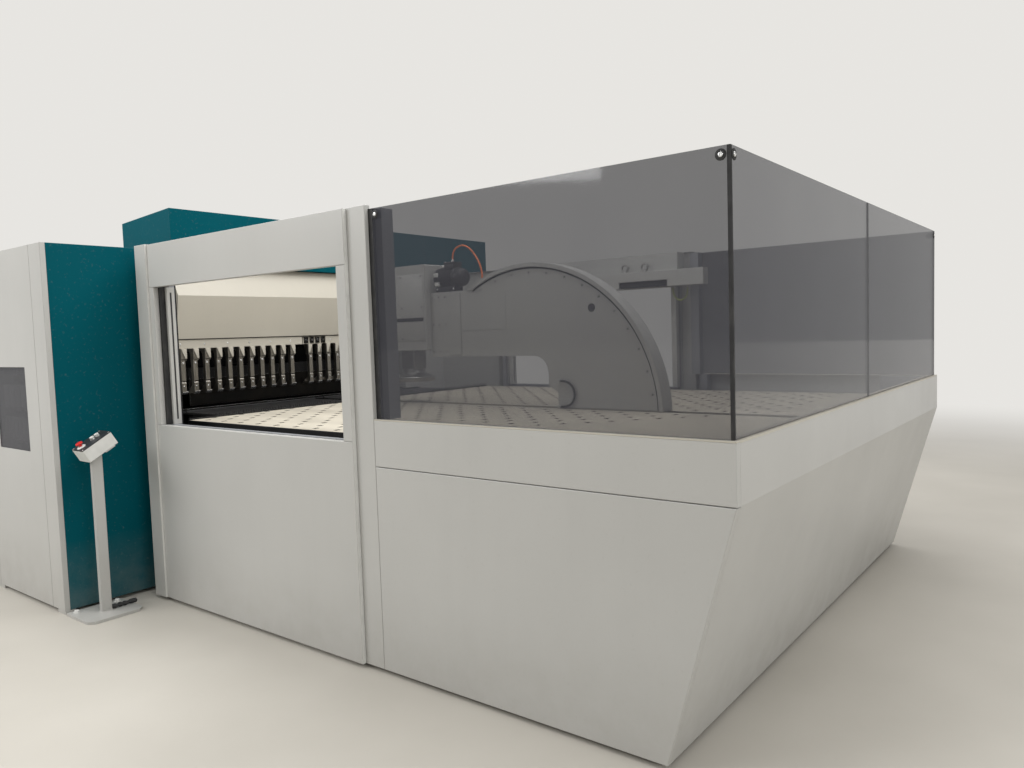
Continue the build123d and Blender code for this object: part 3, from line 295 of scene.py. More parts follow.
def rubbery(name, colour):
    """Matt rubber with streaks of dust."""
    shader = Shader(name)
    dust = shader.ramp(shader.noise(40.0, 6.0, (1.0, 1.0, 0.25)), 0.5, 0.8, 0.0, 0.35)
    base = shader.mix(dust, rgba(colour), RUBBER_DUST)
    gloss = shader.ramp(shader.noise(25.0, 3.0), 0.3, 0.7, 0.58, 0.78)
    return shader.finish(base, gloss, shader.bump(shader.noise(300.0, 3.0, (1.0, 1.0, 0.2)), 0.3, 0.0006))


def smoked(name, colour, cover):
    """Grey tinted sheet that lets part of the light through, with faint smears."""
    shader = Shader(name)
    smear = shader.ramp(shader.noise(2.2, 6.0, (1.0, 1.0, 0.5), 0.6), 0.35, 0.8)
    shader.link(shader.ramp(smear, 0.0, 1.0, cover - 0.012, cover + 0.02), shader.bsdf.inputs["Alpha"])
    shader.bsdf.inputs["IOR"].default_value = 1.5
    base = shader.mix(smear, rgba(colour, 0.9), rgba(colour, 1.2))
    gloss = shader.ramp(smear, 0.0, 1.0, 0.03, 0.09)
    return shader.finish(base, gloss, shader.bump(shader.noise(1.1, 1.0), 0.02, 0.02))


def slotted_top(name, colour):
    """Pale table plate: rubbed lanes, fine scratches from sheets and dark marks."""
    shader = Shader(name)
    lanes = shader.ramp(shader.noise(2.2, 5.0, (1.0, 3.0, 1.0)), 0.3, 0.75)
    base = shader.mix(lanes, rgba(colour, 0.88), rgba(colour, 1.08))
    patches = shader.ramp(shader.noise(4.0, 3.0), 0.5, 0.7, 0.0, 0.30)
    marks = shader.maths("MULTIPLY", shader.scratches(3.0, (1.0, 14.0, 1.0)), patches)
    base = shader.mix(marks, base, rgba(colour, 0.45))
    spots = shader.ramp(shader.noise(26.0, 4.0), 0.66, 0.8, 0.0, 0.35)
    base = shader.mix(spots, base, SPOT)
    gloss = shader.ramp(lanes, 0.0, 1.0, 0.42, 0.58)
    rounded = shader.edges(0.0015)[1]
    return shader.finish(base, gloss, shader.bump(shader.noise(260.0, 3.0), 0.12, 0.0004, rounded))


def make_materials():
    """The finish of every material slot, by its name."""
    return {
        "grey_paint": painted("grey_paint", (0.465, 0.462, 0.441)),
        "teal_paint": painted("teal_paint", (0.0002, 0.078, 0.101), 0.42, 0.3, 0.08, 0.05, 0.0),
        "cream_paint": painted("cream_paint", (0.50, 0.468, 0.396), 0.40, 0.3, 0.3),
        "dark_paint": painted("dark_paint", (0.010, 0.010, 0.0105), 0.46, 0.25, 0.18, 0.25, 0.0),
        "frame_paint": painted("frame_paint", (0.24, 0.245, 0.26), 0.42, 0.35, 0.3),
        "table_steel": slotted_top("table_steel", (0.52, 0.475, 0.39)),
        "tool_steel": steel("tool_steel", (0.30, 0.28, 0.245), 0.40),
        "ground_steel": steel("ground_steel", (0.36, 0.355, 0.34), 0.34, (40.0, 4.0, 40.0)),
        "bright_metal": steel("bright_metal", (0.74, 0.74, 0.73), 0.28, oil=0.05),
        "smoked_glass": smoked("smoked_glass", (0.038, 0.039, 0.050), 0.58),
        "rubber": rubbery("rubber", (0.012, 0.012, 0.0125)),
        "black_plastic": moulded("black_plastic", (0.020, 0.020, 0.022)),
        "pale_plastic": moulded("pale_plastic", (0.66, 0.66, 0.63), 0.40),
        "red_plastic": moulded("red_plastic", (0.55, 0.013, 0.010), 0.30),
        "orange_hose": moulded("orange_hose", (0.80, 0.19, 0.045), 0.42),
        "green_hose": moulded("green_hose", (0.30, 0.36, 0.06), 0.40),
        "black_steel": steel("black_steel", (0.024, 0.023, 0.022), 0.42),
    }


materials = make_materials()
make_camera()


# Cords

def make_cord(name, points, radius, material):
    """Round cord along a smooth curve between the first and the last point."""
    curve = bpy.data.curves.new(name, "CURVE")
    curve.dimensions = "3D"
    curve.bevel_depth = radius
    curve.bevel_resolution = 4
    curve.resolution_u = 10
    curve.use_fill_caps = True
    spline = curve.splines.new("NURBS")
    spline.points.add(len(points) - 1)
    for point, place in zip(spline.points, points):
        point.co = (*at(*place), 1.0)
    spline.order_u = 3
    spline.use_endpoint_u = True
    curve.materials.append(material)
    return add_object(name, curve)


def make_cords():
    """Orange hose on the arm, black cable on the plate and green hose on the gate."""
    hose = make_cord("hose_orange", HOSE_POINTS, HOSE_RADIUS, materials["orange_hose"])
    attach(hose, "manipulator")
    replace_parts(hose, "arm_hose")
    cable = make_cord("cable_loop", CABLE_POINTS, CABLE_RADIUS, materials["rubber"])
    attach(cable, "manipulator")
    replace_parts(cable, "arm_cable")
    loop = make_cord("gate_loop", LOOP_POINTS, LOOP_RADIUS, materials["green_hose"])
    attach(loop, "machine")
    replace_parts(loop, "gate_hose")


make_cords()


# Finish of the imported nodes

def dress_nodes():
    """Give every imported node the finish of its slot, smooth but for its sharp edges."""
    slots = {entry["node"]: entry["material_slot"] for entry in frame["record"]["subparts"]}
    for name, node in frame["nodes"].items():
        mesh = node.data
        mesh.materials.clear()
        mesh.materials.append(materials[slots[name]])
        for face in mesh.polygons:
            face.use_smooth = True
        mesh.set_sharp_from_angle(angle=math.radians(NODE_SHARP))


dress_nodes()


# Mesh helpers: places in millimetres from the machine's corner, as in the construction source

def axes_of(axis):
    """Two directions square to an axis."""
    axis = axis.normalized()
    side = Z if abs(axis.z) < 0.9 else X
    first = axis.cross(side).normalized()
    return first, axis.cross(first)


class Solids:
    """Gathers closed solids into one mesh and turns it into a piece that rides on a body."""

    def __init__(self, turn=None):
        """The turn is a matrix from the solids' own frame, for pieces that stand at a slant."""
        self.bm = bmesh.new()
        self.turn = turn

    def vertex(self, place):
        place = Vector(place)
        if self.turn is not None:
            place = self.turn @ place
        return self.bm.verts.new(at(place.x / 1000, place.y / 1000, place.z / 1000))

    def shell(self, rings, closed_ends=True):
        """Skin over rings of points, each ring with the same count."""
        rows = [[self.vertex(p) for p in ring] for ring in rings]
        count = len(rows[0])
        faces = []
        for low, high in zip(rows, rows[1:]):
            for i in range(count):
                j = (i + 1) % count
                faces.append(self.bm.faces.new((low[i], low[j], high[j], high[i])))
        if closed_ends:
            faces.append(self.bm.faces.new(rows[0][::-1]))
            faces.append(self.bm.faces.new(rows[-1]))
        return faces

    def bevel(self, faces, width, segments=2):
        """Round the faces' sharp edges by a width in millimetres, or none at 0."""
        if width:
            edges = {e for f in faces for e in f.edges if len(e.link_faces) == 2}
            sharp = [e for e in edges if e.calc_face_angle(0.0) > 0.5]
            bmesh.ops.bevel(self.bm, geom=sharp, offset=width / 1000, segments=segments, affect="EDGES",
                            profile=0.6, clamp_overlap=True)

    def prism(self, outline, direction, width=1.0, segments=2):
        """Closed outline of points, pulled along a direction."""
        pull = Vector(direction)
        faces = self.shell([[Vector(p) for p in outline], [Vector(p) + pull for p in outline]])
        bmesh.ops.recalc_face_normals(self.bm, faces=faces)
        self.bevel(faces, width, segments)

    def block(self, x, y, z, width=1.0, segments=2):
        """Box between two places on each axis."""
        outline = [(x[0], y[0], z[0]), (x[1], y[0], z[0]), (x[1], y[1], z[0]), (x[0], y[1], z[0])]
        self.prism(outline, (0, 0, z[1] - z[0]), width, segments)

    def lathe(self, centre, axis, profile, sides=32):
        """Turned body: profile is pairs of distance along the axis and radius."""
        centre, axis = Vector(centre), Vector(axis).normalized()
        first, second = axes_of(axis)
        rings = []
        for along, radius in profile:
            radius = max(radius, 0.01)
            rings.append([centre + along * axis + radius * (math.cos(a) * first + math.sin(a) * second)
                          for a in [2 * math.pi * i / sides for i in range(sides)]])
        faces = self.shell(rings)
        bmesh.ops.recalc_face_normals(self.bm, faces=faces)

    def ring(self, centre, axis, major, minor, sides=36, section=12):
        """Closed ring of round section."""
        centre, axis = Vector(centre), Vector(axis).normalized()
        first, second = axes_of(axis)
        rings = []
        for i in range(sides):
            a = math.radians(360.0 * i / sides)
            out = math.cos(a) * first + math.sin(a) * second
            rings.append([centre + major * out + minor * (math.cos(b) * out + math.sin(b) * axis)
                          for b in [2 * math.pi * k / section for k in range(section)]])
        rings.append(rings[0])
        faces = self.shell(rings, closed_ends=False)
        bmesh.ops.remove_doubles(self.bm, verts=list({v for f in faces for v in f.verts}), dist=1e-6)
        faces = [f for f in faces if f.is_valid]
        bmesh.ops.recalc_face_normals(self.bm, faces=faces)

    def screw(self, place, axis, radius=6.0, proud=4.0, sides=20):
        """Socket head screw: washer, rounded head and its recess."""
        r = radius
        profile = [(0, r * 1.5), (proud * 0.25, r * 1.5), (proud * 0.3, r), (proud * 0.85, r),
                   (proud, r * 0.82), (proud, r * 0.52), (proud * 0.45, r * 0.48)]
        self.lathe(place, axis, profile, sides)

    def done(self, name, body, slot):
        """The gathered solids as one piece with the finish of a slot."""
        mesh = bpy.data.meshes.new(name)
        self.bm.to_mesh(mesh)
        self.bm.free()
        mesh.materials.append(materials[slot])
        for face in mesh.polygons:
            face.use_smooth = True
        mesh.set_sharp_from_angle(angle=math.radians(PIECE_SHARP))
        piece = add_object(name, mesh)
        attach(piece, body)
        return piece


def mirrored(y):
    """The same place on the other side of the enclosure's middle plane."""
    return 2 * MIDDLE - y


def plate_span(face, side, thick):
    """Both sides of a thin plate that lies on a face and reaches outwards, low one first."""
    return sorted((face, face + side * thick))


# Worktable

TABLE_TOP, TABLE_UNDER = 1056.0, 1046.0
TABLE_LEFT, TABLE_RIGHT = -3645.0, -70.0
TABLE_NEAR, LANE_EDGE = 240.0, 1655.0
SEAMS = (TABLE_LEFT, -2301.0, -893.0, TABLE_RIGHT)
SEAM_GAP = 2.0

# Slots of the front half: size, pitch, first row and column, and how many
SLOT_X, SLOT_Y = 26.0, 36.0
PITCH_X, PITCH_Y = 176.0, 196.0
FIRST_ROW, FIRST_COLUMN = 1573.0, -3621.0
ROWS, COLUMNS = 7, 18
POCKET = 9.0

# The front half has no slots at its near right corner, where y lies below x plus this
PLAIN_CORNER = 2290.0

BRISTLE_FOOT, BRISTLE_TOP = 1058.0, 1065.0
BRUSH_START, BRUSH_END = TABLE_NEAR + 6, MIDDLE - 176


def slot_places(plain):
    """Centres of the slots in the front half: rows 98 mm apart, every second one staggered."""
    places = []
    for row in range(ROWS):
        for step in (0.0, 0.5):
            y = FIRST_ROW - (row + step) * PITCH_Y
            for column in range(COLUMNS):
                x = FIRST_COLUMN + (column + step) * PITCH_X
                if not (plain and y < x + PLAIN_CORNER):
                    places.append((x, y))
    return places


def plate_cells(start, end, holes):
    """Grid lines of one plate and, for each cell between them, whether it is a slot."""
    inside = [h for h in holes if h[1] > start and h[0] < end]
    xs = sorted({start, end} | {min(max(v, start), end) for h in inside for v in h[:2]})
    ys = sorted({TABLE_NEAR, LANE_EDGE} | {v for h in inside for v in h[2:]})
    cells = {}
    for i, (x0, x1) in enumerate(zip(xs, xs[1:])):
        for j, (y0, y1) in enumerate(zip(ys, ys[1:])):
            x, y = (x0 + x1) / 2, (y0 + y1) / 2
            cells[i, j] = any(h[0] < x < h[1] and h[2] < y < h[3] for h in inside)
    return xs, ys, cells


def add_plate(bm, xs, ys, cells, rear):
    """One closed plate from its cells, with sunk floors and walls in the dark second material: painted shade.
    """
    verts = {}

    def corner(x, y, z):
        key = (x, y, z)
        if key not in verts:
            verts[key] = bm.verts.new(at(x / 1000, (mirrored(y) if rear else y) / 1000, z / 1000))
        return verts[key]

    for (i, j), hole in cells.items():
        x0, x1, y0, y1 = xs[i], xs[i + 1], ys[j], ys[j + 1]
        z = TABLE_TOP - POCKET if hole else TABLE_TOP
        face = bm.faces.new([corner(*c, z) for c in ((x0, y0), (x1, y0), (x1, y1), (x0, y1))])
        face.material_index = 1 if hole else 0
        bm.faces.new([corner(*c, TABLE_UNDER) for c in ((x0, y1), (x1, y1), (x1, y0), (x0, y0))])
    for (i, j), hole in cells.items():
        x0, x1, y0, y1 = xs[i], xs[i + 1], ys[j], ys[j + 1]
        top = TABLE_TOP - POCKET if hole else TABLE_TOP
        sides = (((i - 1, j), (x0, y1), (x0, y0)), ((i + 1, j), (x1, y0), (x1, y1)),
                 ((i, j - 1), (x0, y0), (x1, y0)), ((i, j + 1), (x1, y1), (x0, y1)))
        for other, a, b in sides:
            if other not in cells:
                low, index = TABLE_UNDER, 0
            elif cells[other] and not hole:
                low, index = TABLE_TOP - POCKET, 1
            else:
                continue
            face = bm.faces.new([corner(*a, top), corner(*a, low), corner(*b, low), corner(*b, top)])
            face.material_index = index


def plate_half(name, node, plain, rear):
    """Three plates of one half of the table, each slot a pocket for its bristle insert, painted dark as
    shade.
    """
    bm = bmesh.new()
    holes = [(x - SLOT_X / 2, x + SLOT_X / 2, y - SLOT_Y / 2, y + SLOT_Y / 2) for x, y in slot_places(plain)]
    for start, end in zip(SEAMS, SEAMS[1:]):
        add_plate(bm, *plate_cells(start, end - SEAM_GAP, holes), rear)
    bmesh.ops.recalc_face_normals(bm, faces=bm.faces[:])
    mesh = bpy.data.meshes.new(name)
    bm.to_mesh(mesh)
    bm.free()
    mesh.materials.append(materials["table_steel"])
    # Dark rubber finish on the pocket floors and walls: painted shade in the slots
    mesh.materials.append(materials["rubber"])
    piece = add_object(name, mesh)
    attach(piece, "machine")
    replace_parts(piece, node)


def table_brushes():
    """Black bristles that stand in the holders along the table's left edge."""
    chance = random.Random(7)
    corners = [Vector((math.cos(a), math.sin(a), 0.0)) for a in (0.0, 2.1, 4.2)]
    for name, rear in (("brush_front", False), ("brush_rear", True)):
        bristles = Solids()
        y = BRUSH_START
        while y < BRUSH_END:
            x = TABLE_LEFT - 7 + chance.uniform(-4.0, 4.0)
            lean = (chance.uniform(-9.0, 4.0), chance.uniform(-5.0, 5.0))
            tall = chance.uniform(9.0, 24.0)
            place = mirrored(y) if rear else y
            foot = [Vector((x, place, BRISTLE_FOOT)) + 1.6 * c for c in corners]
            tip = [Vector((x + lean[0], place + lean[1], BRISTLE_TOP + tall)) + 0.3 * c for c in corners]
            bristles.shell([foot, tip])
            y += chance.uniform(2.2, 4.4)
        bmesh.ops.recalc_face_normals(bristles.bm, faces=bristles.bm.faces[:])
        bristles.done(name, "machine", "rubber")


# Bending unit

TOOL_FACE = -4412.0
TOOL_TOP, TOOL_TOE = 1496.7, 1167.0
TOOL_FIRST, TOOL_PITCH, TOOL_COUNT = 1612.0, 95.0, 11
TOOL_HALF = 22.0
WEDGE_DROP = 72.0
TOE_START = 1184.0
HOLDER_SCREW_Z, CLAMP_Z = 1528.0, 1530.0
CHANGER_NEAR, CHANGER_FAR = 1700.0, 1960.0


def tool_details():
    """Pale wedge faces, joint screws and ground toe tips of every tool segment."""
    corners = [(-TOOL_HALF, 0.0), (TOOL_HALF - 1, 0.0), (TOOL_HALF - 1, -WEDGE_DROP),
               (TOOL_HALF - 15, -WEDGE_DROP)]
    a, b = Vector((TOOL_FACE - 5, 0, TOE_START)), Vector((TOOL_FACE - 20, 0, TOOL_TOE))
    out = Vector((1.6, 0, -1.6))
    for half, sign in (("front", 1.0), ("rear", -1.0)):
        wedges, screws, tips = Solids(), Solids(), Solids()
        for i in range(TOOL_COUNT):
            y = TOOL_FIRST - i * TOOL_PITCH
            if sign < 0:
                y = mirrored(y)
            outline = [(TOOL_FACE, y + sign * u, TOOL_TOP + w) for u, w in corners]
            wedges.prism(outline, (6, 0, 0), 1.2)
            for z, radius, proud in ((1392, 5.5, 5.0), (1222, 4.0, 4.0)):
                screws.screw((TOOL_FACE - 6, y - sign * 6, z), (1, 0, 0), radius, proud)
            tip = [Vector((p.x, y - TOOL_HALF + 0.5, p.z)) for p in (a, b, b + out, a + out)]
            tips.prism(tip, (0, 2 * TOOL_HALF - 1, 0), 0.5, 1)
        wedges.done("tool_wedges_" + half, "tools_" + half, "cream_paint")
        screws.done("tool_screws_" + half, "tools_" + half, "bright_metal")
        tips.done("tool_tips_" + half, "tools_" + half, "bright_metal")


def holder_details():
    """Screws of the holder bars, and the clamps on the tool changer between them."""
    screws, clamps = Solids(), Solids()
    for y in range(640, 1700, 190):
        for place in (y, mirrored(y)):
            if not CHANGER_NEAR < place < CHANGER_FAR:
                screws.screw((TOOL_FACE, place, HOLDER_SCREW_Z), (1, 0, 0), 5.0, 3.5)
    for y in (1742, 1800, 1858, 1916):
        clamps.block((TOOL_FACE - 20, TOOL_FACE - 6), (y, y + 34), (1504, 1556), 2.0)
        clamps.screw((TOOL_FACE - 6, y + 17, CLAMP_Z), (1, 0, 0), 6.0, 4.0)
    screws.done("holder_screws", "blankholder", "bright_metal")
    clamps.done("changer_clamps", "blankholder", "black_steel")


# Manipulator

MOTOR_AXIS, TERMINAL_TOP = 1927.0, 2034.5
FIN_PITCH, FIN_ROOT, FIN_TIP = 9, 66, 73.5
ARM_HALF, HEAD_HALF = 48.0, 100.0
HEAD_X = (-3325, -2900)


def motor():
    """Finned servo motor with its terminal box, feet and connectors."""
    y = MIDDLE
    profile = [(-2830, 52), (-2828, 64), (-2822, 70), (-2806, 71)]
    for x in range(-2800, -2676, FIN_PITCH):
        profile += [(x, FIN_ROOT), (x + 1, FIN_TIP), (x + 5, FIN_TIP), (x + 6, FIN_ROOT)]
    profile += [(-2668, 72), (-2654, 72), (-2650, 66), (-2628, 64), (-2606, 60), (-2590, 50), (-2581, 34),
                (-2580, 20)]
    can = Solids()
    can.lathe((0, y, MOTOR_AXIS), (1, 0, 0), profile, 40)
    can.block((-2742, -2658), (y - 45, y + 45), (1988, 2021), 4.0)
    can.block((-2744, -2656), (y - 47, y + 47), (2022, TERMINAL_TOP), 3.0)
    can.block((-2828, -2652), (y - 42, y + 42), (1831.4, 1868), 3.0)
    body = can.done("motor_body", "manipulator", "black_plastic")
    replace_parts(body, "drive_motor")
    pale = Solids()
    pale.block((-2812, -2776), (y - 80, y - 70), (1934, 1962), 2.0)
    pale.block((-2806, -2772), (y - 76, y - 44), (1872, 1900), 3.0)
    pale.lathe((-2772, y - 20, 2006), (1, 0, 0), [(0, 13), (22, 13), (24, 10), (31, 10)], 20)
    pale.done("motor_boxes", "manipulator", "pale_plastic")
    screws = Solids()
    for x in (-2736, -2664):
        for across in (-38, 38):
            screws.screw((x, y + across, TERMINAL_TOP), (0, 0, 1), 3.5, 2.4, 12)
    for x in (-2815, -2665):
        screws.screw((x, y - 42, 1850), (0, -1, 0), 4.5, 3.5, 14)
    screws.lathe((-2700, y, TERMINAL_TOP), (0, 0, 1), [(0, 12), (5, 12), (6, 9), (16, 9), (18, 7.5)], 18)
    screws.done("motor_screws", "manipulator", "bright_metal")


DISC_X, DISC_Z, DISC_R = -2033.0, 1033.0, 941.0
# Radii of a thin dark ring just inside the disc's rim: painted shade where the rim shadows the face
SHADE_RING_INNER, SHADE_RING_OUTER = DISC_R - 37, DISC_R - 26.5
FACE_Y = MIDDLE - ARM_HALF


def disc_place(radius, degrees, y):
    """A place on the half disc, by its radius and its angle above the horizontal."""
    a = math.radians(degrees)
    return DISC_X + radius * math.cos(a), y, DISC_Z + radius * math.sin(a)


def manipulator_details():
    """Painted shade as a thin dark ring inside the rim, cover plates, screws, dark bands and the lining of
    the round hole.
    """
    # Thin dark ring in the rubber finish on both disc faces: painted shade under the rim
    rim_shade = Solids()
    for y0, y1 in ((FACE_Y - 2, FACE_Y + 2), (mirrored(FACE_Y + 2), mirrored(FACE_Y - 2))):
        rim_shade.shell([[disc_place(SHADE_RING_INNER, d, y0), disc_place(SHADE_RING_OUTER, d, y0),
                     disc_place(SHADE_RING_OUTER, d, y1), disc_place(SHADE_RING_INNER, d, y1)] for d in range(2, 122, 2)])
    bmesh.ops.recalc_face_normals(rim_shade.bm, faces=rim_shade.bm.faces[:])
    rim_shade.done("rim_shade_ring", "manipulator", "rubber")
    covers, screws, bands = Solids(), Solids(), Solids()
    for side in (-1, 1):
        face = MIDDLE + side * ARM_HALF
        skin = plate_span(face, side, 1.6)
        covers.block((-1808, -1120), skin, (1064, 1118), 0.5, 1)
        covers.block((-2596, -2210), skin, (1560, 1800), 0.5, 1)
        head = MIDDLE + side * HEAD_HALF
        covers.block(HEAD_X, plate_span(head, side, 3.0), (1500, 1966), 1.0)
        for x in (-3310, -3112, -2915):
            for z in (1515, 1733, 1951):
                screws.screw((x, head + side * 3.0, z), (0, side, 0), 5.0, 3.0, 14)
        for degrees in range(8, 120, 9):
            screws.screw(disc_place(DISC_R - 62, degrees, face), (0, side, 0), 5.0, 2.5, 14)
        for x in range(-2860, -2720, 60):
            for z in (1420, 1608, 1796):
                screws.screw((x, face, z), (0, side, 0), 5.0, 2.5, 14)
        bands.block(HEAD_X, plate_span(head + side * 3.0, side, 1.5), (1636, 1662), 0.4, 1)
    covers.done("manipulator_covers", "manipulator", "grey_paint")
    screws.done("manipulator_screws", "manipulator", "black_steel")
    bands.lathe((-1557, FACE_Y - 1, 1671), (0, 1, 0),
                [(0, 25), (0.8, 26), (3.0, 26), (3.0, 20.5), (40, 20.5), (40, 20)], 32)
    bands.done("manipulator_bands", "manipulator", "black_plastic")


CLAMP_X = -3112.0
UPPER_BASE, LOWER_BASE = 1209.0, 900.3


def rotors():
    """Turned faces of the clamp above the sheet and of the rest under it."""
    upper = Solids()
    upper.lathe((CLAMP_X, MIDDLE, UPPER_BASE), (0, 0, 1),
                [(0, 132), (3, 136), (3, 142), (0, 144), (0, 149), (2, 150), (30, 150), (34, 147), (36, 139),
                 (58, 84), (60, 78), (62, 77), (88, 77), (89.7, 75)], 64)
    for i in range(8):
        a = math.radians(22.5 + 45 * i)
        place = (CLAMP_X + 118 * math.cos(a), MIDDLE + 118 * math.sin(a), UPPER_BASE + 44)
        upper.screw(place, (0, 0, 1), 6.0, 6.0, 14)
    piece = upper.done("turner_upper", "upper_turner", "ground_steel")
    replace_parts(piece, "upper_rotor")
    lower = Solids()
    lower.lathe((CLAMP_X, MIDDLE, LOWER_BASE), (0, 0, 1),
                [(0, 19), (95.7, 19), (95.7, 36), (98, 39), (150, 40), (154, 38.5), (155.7, 36), (155.7, 30),
                 (154.7, 29), (154.7, 26), (155.7, 25)], 48)
    piece = lower.done("turner_lower", "lower_turner", "ground_steel")
    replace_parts(piece, "lower_rotor")


# Enclosure

PANE_FRONT, PANE_RIGHT, BOLT_Z = 20.0, -14.0, 2075.0
EYE_Y, EYE_X, EYE_Z, EYE_BASE = 3154.4, (-2174, -1998), 2013, 1974.2
# Jamb and bay faces and the sheets' height, where pale strips of painted highlight stand on the sheets' +X
# returns
JAMB_FACE, BAY_FACE = -1808.0, -3547.0
SHEET_Z = (22, 2117)
LENS_FOOT = 1092


def glass_hardware():
    """Bolt heads with black washers at the panes' corners, and the ring eyes on the gate."""
    places = [((x, y, BOLT_Z), (0, side, 0)) for y, side in ((PANE_FRONT, -1), (mirrored(PANE_FRONT), 1))
              for x in (-46.0, -1638.0)]
    places += [((PANE_RIGHT, y, BOLT_Z), (1, 0, 0)) for y in (46.0, mirrored(46.0))]
    heads, washers = Solids(), Solids()
    for place, axis in places:
        washers.lathe(place, axis, [(0, 19), (1.6, 19), (2.2, 18)], 28)
        heads.lathe(Vector(place) + 2.2 * Vector(axis), axis,
                    [(0, 8.5), (1.6, 8.5), (3.2, 7.2), (3.8, 5.4), (3.8, 4.2), (2.2, 4.0)], 24)
    piece = heads.done("bolt_heads", "machine", "bright_metal")
    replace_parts(piece, "glass_bolts")
    washers.done("bolt_washers", "machine", "rubber")
    eyes = Solids()
    for x in EYE_X:
        eyes.ring((x, EYE_Y, EYE_Z), (0, 1, 0), 26.0, 6.6)
        eyes.lathe((x, EYE_Y, EYE_BASE), (0, 0, 1), [(0, 17), (4, 17), (6, 11), (12, 9), (15, 7)], 24)
    piece = eyes.done("ring_eyes", "machine", "ground_steel")
    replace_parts(piece, "lifting_eyes")


def portal_details():
    """Pale strips of painted highlight on the edges of the proud sheets, light barrier lenses and the
    brackets at the table's left edge.
    """
    edges, lenses, brackets = Solids(), Solids(), Solids()
    # Thin pale strips on the +X returns of the proud sheets: painted highlights where these edges catch the
    # light
    for y in ((-20.0, 0.0), (mirrored(0.0), mirrored(-20.0))):
        edges.block((JAMB_FACE, JAMB_FACE + 0.8), y, SHEET_Z, 0)
    edges.block((BAY_FACE, BAY_FACE + 0.8), (-32.0, -20.0), SHEET_Z, 0)
    edges.done("sheet_edge_highlights", "machine", "pale_plastic")
    for rear, top in ((False, 1837.0), (True, 1819.0)):
        for x, side, y in ((-3459.0, 1.0, (58.0, 68.0)), (-1848.0, -1.0, (77.0, 87.0))):
            if rear:
                y = (mirrored(y[1]), mirrored(y[0]))
            lenses.block(plate_span(x, side, 1.0), y, (LENS_FOOT, top), 0.3, 1)
    lenses.done("curtain_lenses", "machine", "black_plastic")
    for y in (256.0, mirrored(322.0)):
        brackets.block((TABLE_LEFT - 60, TABLE_LEFT), (y, y + 66), (984, 1008), 2.0)
        for along in (16, 50):
            brackets.screw((TABLE_LEFT - 40, y + along, 1008), (0, 0, 1), 5.0, 5.0, 14)
    brackets.done("table_brackets", "machine", "black_steel")


LOCK_PLACE = (-4733, -489, 1120)
GEAR_LEFT, GEAR_RIGHT, GEAR_BACK = -4670, -4085, -330
GEAR_HEIGHT, GEAR_GAP = 140, 8


def cabinet_details():
    """Door lock, and the dim gear on its plate behind the smoked window."""
    lock = Solids()
    lock.lathe(LOCK_PLACE, (0, -1, 0), [(0, 15), (1.4, 15), (2.4, 12), (2.4, 6), (0.6, 5)], 28)
    lock.done("door_lock", "door", "bright_metal")
    plate, modules = Solids(), Solids()
    plate.block((-4700, -4060), (GEAR_BACK, -326), (860, 1960), 1.0)
    for z in (930, 1130, 1330):
        plate.block((-4680, -4080), (-358, GEAR_BACK), (z, z + 34), 1.5)
    plate.done("gear_plate", "machine", "bright_metal")
    for z, depth, wide in ((975, 110, 60), (1175, 126, 88), (1378, 90, 44)):
        x = GEAR_LEFT
        while x + wide < GEAR_RIGHT:
            modules.block((x, x + wide - GEAR_GAP), (GEAR_BACK - depth, GEAR_BACK), (z, z + GEAR_HEIGHT), 3.0)
            x += wide
    modules.done("gear_modules", "machine", "frame_paint")


# Pedestal

# The button box's own frame, from its middle and tilted towards the front
ON_BOX = Matrix.Translation((-3653.0, -336.0, 970.0)) @ Matrix.Rotation(math.radians(30.0), 4, "X")
LID_TOP = 40

# Turned profiles: distance along the axis and radius
STOP_PROFILE = [(16, 9), (60, 9), (60.5, 17), (62, 19.6), (66, 20), (69, 18.5), (70.5, 14)]
BUTTON_PROFILE = [(16, 8), (46, 8), (47.5, 12.4), (55, 13), (56.2, 12.2), (56.5, 10)]
COLLAR_PROFILE = [(0, 24), (3, 24), (6, 20), (8, 15.5), (8, 9.6), (0.5, 9.6)]
RIM_PROFILE = [(0, 14.8), (4, 14.8), (4.6, 14.4), (4.6, 13.6), (0.5, 13.6)]
ANCHOR_PROFILE = [(0, 19), (3, 19), (3.5, 14), (11, 14), (14.5, 11), (16, 6)]

STOP_Y, START_Y, RESET_Y = -62, 12, 42
FOOT_TOP = 16
WELD_CORNERS = [(-3668.0, -364.0), (-3638.0, -364.0), (-3638.0, -308.0), (-3668.0, -308.0)]


